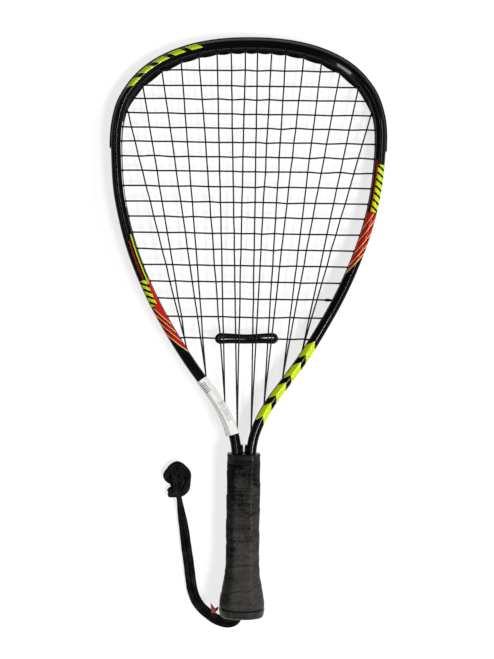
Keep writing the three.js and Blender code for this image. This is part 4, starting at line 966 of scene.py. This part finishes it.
def dampener():
    """A soft band bent into a long flat loop: two half turns joined by straight runs, nipped in
    the middle by a share of sin^0.7, waved by a slow sine and a little tilted. Its section is a
    superellipse."""
    turn = (np.linspace(0, 1, 19) + 0.5) * np.pi
    radius = (DAMPENER_HEIGHT - DAMPENER_BAND) / 2
    half_turn = radius * np.stack([np.cos(turn), np.sin(turn)], 1)
    left = half_turn + [DAMPENER_LEFT + DAMPENER_HEIGHT / 2, 0]
    right = [DAMPENER_RIGHT - DAMPENER_HEIGHT / 2, 0] - half_turn
    run = np.linspace(0, 1, 40)[1:-1, None]
    low = left[-1] + (right[0] - left[-1]) * run
    top = right[-1] + (left[0] - right[-1]) * run
    line = np.concatenate([left, low, right, top])
    share = (line[:, 0] - DAMPENER_LEFT) / (DAMPENER_RIGHT - DAMPENER_LEFT)
    line[:, 1] *= 1 - DAMPENER_NIP * np.sin(np.pi * np.clip(share, 0, 1)) ** 0.7
    line[:, 1] += DAMPENER_WAVE * np.sin(3 * np.pi * share) + DAMPENER_TILT * (share - 0.5)
    line[:, 1] += LAST_CROSS
    line = np.column_stack([line, np.zeros(len(line))])
    forward = along(np.concatenate([line[-1:], line, line[:1]]))[1:-1]
    round_section = np.stack([np.cos(once_round(16)), np.sin(once_round(16))])
    section = np.sign(round_section) * np.abs(round_section) ** 0.75
    flat, deep = section[..., None] * np.array([DAMPENER_BAND, DAMPENER_THICK])[:, None, None] / 2
    grid = line[:, None] + np.cross(forward, UP)[:, None] * flat + UP * deep
    loop = skin(lie_down(grid), closed=True)
    build("dampener_loop", [loop], DAMPENER_RUBBER, ["vibration_dampener"], 60)


# Handle

BEVEL_GROWTH = 2 - math.sqrt(2)

# The tape: the height from one turn to the next, a height at which a turn's edge lies at the
# upper face's left side, how far a lap stands out and the share of a turn it grows over, and how
# far the lower end sinks in beside the rim
LAP_PITCH, LAP_EDGE = 23.6, 125.8
LAP, LAP_GROWS = 0.34, 0.72
SINK = 2.3

# Profiles: the rim's wall as heights and how far it is drawn in under the tape's surface, the
# recess in its end as radii and heights, how far the end slants, and the collar as heights and
# half widths from its lower edge up its outside, over its lip and down its inside
RIM_WALL = np.array([[7.6, 0.5], [9.4, 0.4], [10.7, 0.45], [11.3, 1.1], [11.55, 2.3]])
RIM_RECESS = np.array([[12.8, 8.6], [13.5, 8.4], [13.5, 0.5], [14.1, 0]])
RIM_SLANT = 3.2
COLLAR_PROFILE = np.array([
    [149.9, 15.5], [150.1, 15.9], [150.5, 16.05], [151.3, 16.05], [151.7, 15.75], [157.3, 15.75],
    [157.7, 16], [158.4, 16], [158.9, 15.8], [159.15, 15.4], [159.2, 9], [158.9, 9],
    [158.86, 14.75], [149.9, 14.75],
])

# The part of the left shaft's height that the label covers
LABEL_TOP, LABEL_LOW = 230, 178


def octagons(heights, halves, softness, steps):
    """Rounded octagons across the handle, one for each height and half width."""
    halves = np.asarray(halves, float)
    depth = halves - HANDLE_DEPTH_LESS
    bevel = CORE_BEVEL + (halves - CORE_HALF) * BEVEL_GROWTH
    flat, side = halves - bevel, depth - bevel
    x = np.stack([halves, flat, -flat, -halves, -halves, -flat, flat, halves], -1)
    z = np.stack([side, depth, depth, side, -side, -depth, -depth, -side], -1)
    outline = rounded(np.stack([x, z], -1), np.asarray(softness)[..., None], steps)
    y = np.broadcast_to(np.asarray(heights, float)[:, None], outline.shape[:-1])
    return np.stack([outline[..., 0], y, outline[..., 1]], -1)


def flare_half(height):
    """The grip's half width: the flare's share of its swell, smoothed over 6 mm of height."""
    around = np.asarray(height)[..., None] + np.linspace(-3, 3, 7)
    swell = np.interp((around - RIM_TOP) / (FLARE_TOP - RIM_TOP), *FLARE_SHARES.T).mean(-1)
    return GRIP_HALF + (FLARE_HALF - GRIP_HALF) * swell


def lumps(x, y, seed, count, finest):
    """A sum of sines with random directions, phases and wave lengths: soft folds in a skin."""
    chance = np.random.default_rng(seed)
    total = np.zeros(np.broadcast(x, y).shape)
    for _ in range(count):
        angle, phase = chance.uniform(0, 2 * np.pi, 2)
        wave = chance.uniform(finest, finest * 4)
        total += np.sin((x * np.cos(angle) + y * np.sin(angle)) * 2 * np.pi / wave + phase)
    return total / math.sqrt(count)


def grip():
    """Tape wound round the flared octagon. Its outside stands out by a lap that grows along each
    turn and drops at the next edge, by creases beside that edge, and by soft lumps. Its lower
    end sinks in beside the rim by an exponential, and both ends close on the core."""
    rolled_in = RIM_EDGE + np.linspace(0.3, 2.5, 8)[:-1]
    y = np.concatenate([rolled_in, np.linspace(RIM_EDGE + 2.5, GRIP_TOP, 320)])
    softness = np.interp(y, [RIM_TOP, 30, 60], [6.0, 3.6, 2.6])
    grid = octagons(y, flare_half(y) - 0.15, softness, 14)
    places = grid.shape[1]
    up, over_rim = y[:, None], y[:, None] - RIM_EDGE
    around = np.arange(places)[None] / places
    run = around * 100
    turns = (up - LAP_EDGE) / LAP_PITCH + (around - 0.25)
    share = turns - np.floor(turns)
    lap = LAP * np.minimum(share / LAP_GROWS, 1) * np.clip((1 - share) / 0.06, 0, 1)
    crease = 0.14 * bell(share, 0.9, 0.05) - 0.3 * bell(share, 0.985, 0.03)
    uneven = 1 + 0.45 * lumps(run, up, 12, 10, 14)
    soft = 0.16 * lumps(run, up, 3, 14, 9) + 0.05 * lumps(run, up * 1.3, 8, 18, 3.2)
    folds = bell(up, 55.7, 4.5) + 0.8 * bell(up, 80, 5)
    folds = folds * 0.12 * lumps(run * 0.5, up * 2.2, 21, 12, 3)
    height = lap - 0.22 + crease * uneven + soft + folds
    height *= np.clip(over_rim / 1.5, 0.3, 1)
    height -= SINK * np.exp(-(over_rim - 0.3) / 1.5)
    outward = unit(grid * [1, 0, 1])
    grid = grid + outward * height[..., None]
    lower = grid[:1] - outward[:1] * 0.7 - [0, 0.25, 0]
    upper = grid[-1:] - outward[-1:] * 0.7 + [0, 0.2, 0]
    inner_top = octagons([GRIP_TOP + 0.2], [14.4], 2.0, 14)
    inner_low = octagons([RIM_EDGE + 0.1], [19.4], 3.0, 14)
    grid = np.concatenate([inner_low, lower, grid, upper, inner_top])
    wound = skin(lie_down(grid), (grid[:, 0, 1], np.linspace(0, 100, places + 1)))
    build("grip_tape_wound", [wound], GRIP, ["grip_wrap"], 50)


def butt_rim():
    """The cap's rim: up a round recess from its floor to the end face, then octagons that grow
    softer, over a quarter round, up the wall and in under the grip. The end slants away by a
    straight share of the height above its lowest side."""
    turn = np.linspace(0, np.pi / 2, 9)
    wall, drawn_in = RIM_WALL.T
    y = np.concatenate([RIM_TOP * 0.92 * (1 - np.cos(turn)), wall])
    half = np.concatenate([16.5 + 4.7 * np.sin(turn) ** 0.8, flare_half(wall) - drawn_in])
    outside = octagons(y, half, np.interp(y, [RIM_TOP, RIM_EDGE], [7.0, 5.8]), 10)
    top = octagons([RIM_EDGE, RIM_EDGE + 0.1], [19.9, 17.0], 6.0, 10)
    radii, levels = RIM_RECESS.T[..., None, None]
    recess = unit(outside[:1] * [1, 0, 1]) * radii + np.array([0, 1, 0]) * levels
    grid = np.concatenate([recess, outside, top])
    end = np.clip(1 - grid[..., 1] / RIM_TOP, 0, 1)
    grid[..., 1] += RIM_SLANT * end * np.clip((grid[..., 2] + 15) / 30, 0, 1)
    # The rim's paler grey is a painted sheen.
    build("butt_rim", [skin(lie_down(grid))], SHEEN_PAINTED_RIM_RUBBER, ["butt_cap"], 40)


def collar():
    """A rubber sleeve: rounded octagons up its wall, over its lip and across its top, and back
    down inside it, with faint mould lines. A second skin closes its top round the shafts."""
    wall = octagons(*COLLAR_PROFILE.T, 1.6, 6)
    wall[..., 1] += 0.02 * (np.abs(np.abs(wall[..., 0]) - 8.6) < 0.6)
    top = octagons([158.9, 159.16], [9.4, 9.4], 1.0, 6)
    skins = [skin(lie_down(wall), closed=True), skin(lie_down(top))]
    build("throat_collar", skins, COLLAR_RUBBER, ["grip_collar"], 40)


def pads():
    """A rounded rubber block on the inner face of each shaft: the section shrinks at both ends."""
    face, deep, thick = -TUBE_HALF + 0.3, 6.2, 2.3
    corners = [[face, deep], [face - thick, deep], [face - thick, -deep], [face, -deep]]
    heights = [COLLAR_TOP + 7.4, COLLAR_TOP - 0.2]
    top, low = rail_where(heights, WIDEST_DISTANCE, RAIL_LENGTH)
    places = np.array([top, top + 0.15, top + 0.7, (top + low) / 2, low - 0.6, low])
    size = np.array([0.7, 0.9, 1, 1, 1, 1])[:, None, None]
    middle = np.array([face, 0])
    shaped = (rounded(np.array(corners), 0.8, 4) - middle) * size + middle
    for side, name in SIDES:
        block = skin(lie_down(sweep(shaped, side * places)))
        node = "throat_pad_" + name
        build("pad_" + name, [block], COLLAR_RUBBER, [node], 50)


def label():
    """A paper sleeve over the top of the left shaft, lifting a little at its ends. Towards its
    lower end its outer side stands off the shaft by a power of the distance left."""

    def outline(gap):
        """The shaft's upper half, a gap off it, with six points to each straight run."""
        side, top, cut = TUBE_HALF + gap, TUBE_DEEP + gap, TUBE_CHAMFER + gap * BEVEL_GROWTH
        hem = TUBE_DEEP - TUBE_CHAMFER - 2.6
        half = [[side, hem], [side, top - cut], [side - cut, top]]
        corners = np.array(half + [[-x, z] for x, z in half[::-1]], float)
        return np.concatenate([divided(corners, 6), corners[-1:]])

    section = np.concatenate([outline(0.6), outline(0.35)[::-1]])
    top, low = rail_where([LABEL_TOP, LABEL_LOW], WIDEST_DISTANCE, RAIL_LENGTH)
    places = np.linspace(-low, -top, 60)
    share = np.linspace(0, 1, 60)[:, None]
    lift = 0.35 * np.exp(-share / 0.05) + 0.25 * np.exp((share - 1) / 0.05)
    crinkle = 0.1 * lumps(places[:, None], section[None, :, 0] * 3, 5, 8, 7)
    shaped = section * (1 + (lift + crinkle) / TUBE_HALF * 0.6)[..., None]
    loose = np.clip(1 - share / 0.7, 0, 1) ** 1.3
    shaped[..., 0] += 1.8 * loose * np.clip(section[:, 0] / TUBE_HALF, 0, 1) ** 2
    across = face_chart(np.append(section[:, 0], TUBE_HALF))
    paper = skin(lie_down(sweep(shaped, places)), (places, across))
    build("paper_label", [paper], PAPER, ["shaft_label"], 50)


def tag():
    """A notched scrap of red card: its outline carried through its thickness and bent by a share
    of sin^2 of the distance from the butt."""
    shares = np.array([[1, 1], [0.9, 0.04], [0.5, 0], [0, 0.34], [-0.01, 0.64], [0.4, 0.46]])
    seat, length = FLARE_HALF + 0.3, 7.5
    corners = np.stack([-(seat + length * shares[:, 0]), 4.2 + 10.2 * shares[:, 1]], 1)
    outline = divided(np.concatenate([corners, corners[:1]]), 5)
    curl = 0.6 * np.sin((outline[:, 0] + seat) / length * 2.2) ** 2
    grid = np.column_stack([outline, curl - 3.5]) + UP * np.array([0, 0.35, 0.7])[:, None, None]
    build("tag_corner", [skin(lie_down(grid))], RED_CARD, ["tag_end"], 30)


# Lanyard

CORD_RADIUS = 2.5
SPREAD = CORD_RADIUS + 0.05
CORD_RISE = 0.3
YARN_PITCH = 4.4
CORD_IN_BUTT = np.array([[-4, 10.2, -4], [-4, 6, -4]])

# The two strands' shared route: x, y from the butt end, height, and how far they have turned from
# side by side to one on the other
LANYARD_LINE = np.array([
    [-4.1, 4.2, 14.1, 0], [-4.9, 0.4, 14, 0], [-7.6, -3.6, 13.2, 0], [-12.4, -5.9, 11, 0],
    [-18.6, -6, 8.2, 0], [-26, -4.1, 4.8, 0], [-33, -0.2, 1.9, 0], [-39, 4.6, 0.4, 0],
    [-43.4, 10, 0, 0], [-46.8, 16.8, 0, 0], [-49.2, 24.5, 0, 0], [-50.6, 34, 0, 0],
    [-52.2, 46, 0, 0.05], [-54.7, 62.4, 0, 0.15], [-57, 79, 0, 0.3], [-59.6, 95, 0, 0.55],
    [-61.6, 107, 0, 0.85], [-63.2, 116.8, 0, 1],
])

# What fills the knot, and its folds: each one's radius and points
HEART_SIZE, HEART_MIDDLE = np.array([9.8, 13, 2.6]), np.array([-63.8, 131.8, 3.4])
RIGHT_LOOP = 3.3, [
    [-67.5, 118.6, 4.2], [-61, 117.4, 4], [-56.4, 121.4, 3.9], [-54.9, 129, 4], [-54.9, 136.6, 4.5],
    [-58.4, 141.6, 5.4], [-64.6, 145.4, 6.2], [-70.2, 142.6, 5.8], [-73, 137.6, 4.8],
]
LEFT_FOLD = 3.2, [
    [-63.4, 136.6, 5.6], [-67.6, 141, 6.8], [-72.4, 139.4, 6.2], [-75.2, 134.6, 4.8],
    [-73.6, 131, 4.2], [-69.6, 129, 4.4],
]
FACE_STRAND = 2.7, [
    [-72, 141.4, 6.6], [-69.2, 137.8, 8.2], [-66.8, 133, 9], [-66.1, 127, 8.8], [-66, 121.4, 7.8],
    [-65.6, 116, 6.4],
]
SHORT_STRAND = 2.7, [[-65, 143.6, 7], [-61.4, 141, 8.4], [-60.2, 136.4, 7.8], [-62, 131.6, 6]]
TAIL = 3.1, [[-57.6, 119.6, 4.6], [-62.4, 117.2, 6], [-68, 116.6, 5.4], [-72.4, 116.2, 3.6]]
NECK = 3.2, [[-64, 124, 6], [-63.4, 119.5, 5.7], [-63.1, 115.2, 5.5]]
FLAP = 2.9, [[-61, 122.4, 4.6], [-66, 122.4, 5], [-70.4, 120.8, 4.2], [-72.2, 118.6, 3.6]]
KNOT_FOLDS = RIGHT_LOOP, LEFT_FOLD, FACE_STRAND, SHORT_STRAND, TAIL, NECK, FLAP


def braid_radius(lengths, sides, radius):
    """The cord's radius: two families of yarns crossing, and a slow unevenness along it."""
    turn, lengths = once_round(sides)[None], lengths[:, None]
    wave = lengths * 2 * np.pi / YARN_PITCH
    yarns = np.sin(wave + turn * 4) * np.sin(wave - turn * 4)
    slow = 0.02 * np.sin(lengths * 0.21) + 0.02 * np.sin(lengths * 0.47 + 1)
    return radius * (1.05 + 0.025 * yarns + slow)


def braided(line, radius, sides=16):
    """A braided tube on a line in millimetres, as a skin in row metres."""
    grid, chart = tube(line, braid_radius(distances(line), sides, radius), sides)
    return skin(on_table(grid), chart)


def strand(side):
    """One strand of the doubled cord: beside the shared route by SPREAD, turned up onto the other
    by the route's own share of a quarter turn."""
    within = lie_down(CORD_IN_BUTT) / MM + [0, MIDDLE, -CORD_RADIUS - CORD_RISE]
    route = np.concatenate([np.column_stack([within, [0, 0]]), LANYARD_LINE])
    route = curve_through(route, 14)
    middle, climb = route[:, :3], np.clip(route[:, 3:], 0, 1) * np.pi / 2
    way = along(middle)
    out = unit(np.stack([way[:, 1], -way[:, 0]], 1))
    line = middle + side * SPREAD * np.column_stack([out * np.cos(climb), np.sin(climb)])
    line[:, 2:] += CORD_RADIUS + CORD_RISE + SPREAD * np.sin(climb)
    return line


def lanyard():
    """Two braided strands from the butt to a lumpy knot, lying on the table."""
    knot = lanyard_knot()
    for side, name in ((1, "inner"), (-1, "outer")):
        line = strand(side)
        cord, node = braided(line, CORD_RADIUS), "lanyard_strand_" + name
        piece = build("lanyard_" + name, [cord], CORD, [node], 60)


def knot_heart():
    """What fills the knot: rings of an ellipse that open and close by a sine, with soft lumps."""
    turn = once_round(28)
    up = np.linspace(0.04, np.pi - 0.04, 15)[:, None]
    ball = [np.sin(up) * np.cos(turn), np.sin(up) * np.sin(turn), np.cos(up) + 0 * turn]
    ball = np.stack(ball, -1) * (1 + 0.05 * lumps(turn[None] * 9, up * 9, 2, 8, 9))[..., None]
    chart = np.linspace(0, 14, 15), np.linspace(0, 3, 29)
    return skin(on_table(ball * HEART_SIZE + HEART_MIDDLE), chart)


def lanyard_knot():
    """A doubled cord pulled into a tight lump: a big loop round the right, a fold on the left, a
    strand down the middle of its face, a neck over the strands' ends and a short tail."""
    skins = [braided(curve_through(line, 9), radius, 14) for radius, line in KNOT_FOLDS]
    skins.append(knot_heart())
    return build("lanyard_tie", skins, CORD, ["lanyard_knot"], 60)


# The view: down from a metre above, turned a little, as the racket leans in the photograph

IMAGE_HEIGHT = 659
SEEN_PIXELS = 1021.0
EYE = (0.0012, 0.0129, 1.0)
EYE_TILT, EYE_TURN = math.radians(-0.8), math.radians(0.79)

lens = bpy.data.cameras.new("overhead")
lens.sensor_width = 36
lens.lens = lens.sensor_width * SEEN_PIXELS / IMAGE_HEIGHT
camera = bpy.data.objects.new("overhead", lens)
camera.location = EYE
camera.rotation_euler = (EYE_TILT, 0, EYE_TURN)
bpy.context.scene.collection.objects.link(camera)
bpy.context.scene.camera = camera

# Floor and sky: the floor's own grey, how bright it looks, and the sky's light at the horizon and
# overhead
FLOOR_SIZE = 6.0
FLOOR_GREY, FLOOR_GLOW = 0.36, 0.76
SKY_EDGE, SKY_EVEN = 0.2, 0.03


def lamp(name, place, size, power):
    """A soft rectangular lamp of a size in metres and a power in watts, facing the origin."""
    data = bpy.data.lights.new(name, "AREA")
    data.shape = "RECTANGLE"
    data.size, data.size_y = size
    data.energy = power
    made = bpy.data.objects.new(name, data)
    made.location = place
    x, y, z = place
    made.rotation_euler = (math.atan2(math.hypot(x, y), z), 0, math.atan2(-y, -x) - math.pi / 2)
    bpy.context.scene.collection.objects.link(made)


def ray(tree, kind):
    """One for rays of a kind, else nought."""
    return Term(tree, add_node(tree, "LightPath").outputs[kind])


def floor():
    """A pale floor that takes shadows, and looks bright to the camera and in reflections."""
    size = FLOOR_SIZE
    mesh = bpy.data.meshes.new("floor")
    corners = [[-size, -size, 0], [size, -size, 0], [size, size, 0], [-size, size, 0]]
    mesh.from_pydata(corners, [], [[0, 1, 2, 3]])
    made = bpy.data.objects.new("floor", mesh)
    bpy.context.scene.collection.objects.link(made)
    material = bpy.data.materials.new("pale_floor")
    material.use_nodes = True
    mesh.materials.append(material)
    tree = material.node_tree
    tree.nodes.clear()
    seen = ray(tree, "Is Camera Ray").most(ray(tree, "Is Glossy Ray"))
    seen = seen.most(ray(tree, "Is Transmission Ray"))
    diffuse = add_node(tree, "BsdfDiffuse", Color=[FLOOR_GREY] * 3)
    glow = add_node(tree, "Emission", Strength=seen * FLOOR_GLOW)
    both = add_node(tree, "AddShader")
    for slot, shader in zip(both.inputs, (diffuse, glow)):
        fill(tree, slot, shader.outputs[0])
    add_node(tree, "OutputMaterial", Surface=both.outputs[0])


def sky():
    """White to the camera, and else SKY_EDGE * (1 - height)^6 + SKY_EVEN."""
    world = bpy.data.worlds.new("studio")
    world.use_nodes = True
    tree = world.node_tree
    split = add_node(tree, "SeparateXYZ", Vector=add_node(tree, "TexCoord").outputs["Generated"])
    height = Term(tree, split.outputs["Z"]).most(0)
    level = ((1 - height).power(6.0) * SKY_EDGE + SKY_EVEN).most(ray(tree, "Is Camera Ray"))
    background = tree.nodes["Background"].inputs
    fill(tree, background["Strength"], level)
    fill(tree, background["Color"], (1, 1, 1))
    bpy.context.scene.world = world


def studio():
    """The floor, the sky and four soft lamps."""
    floor()
    sky()
    lamp("left_lamp", (-1.3, 0.1, 1.35), (1.3, 0.1), 3.5)
    lamp("right_lamp", (1.4, 0.1, 1.3), (1.4, 0.1), 15)
    lamp("near_lamp", (0.85, -0.6, 1.6), (0.6, 0.35), 24)
    lamp("low_lamp", (-0.95, -1.0, 1.05), (0.35, 0.25), 2.5)


def carried_over():
    """Finishes for the CAD nodes that stay: what is hidden in the handle, and the butt's door."""
    kept = {
        FOAM: ("handle_core_top", "handle_core_bottom"),
        PLASTIC: ("butt_door",),
        STEEL: ("cap_tack_top", "cap_tack_bottom"),
        CORD: ("lanyard_anchor",),
        VINYL: ("finishing_tape",),
    }
    for finish, names in kept.items():
        for name in names:
            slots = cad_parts[name].data.materials
            slots.clear()
            slots.append(finish)


studio()
lanyard()
frame_tube()
grommet_strips()
bumper()
main_strings()
cross_strings()
dampener()
grip()
butt_rim()
collar()
pads()
label()
tag()
carried_over()

bpy.context.scene.view_settings.view_transform = "Standard"
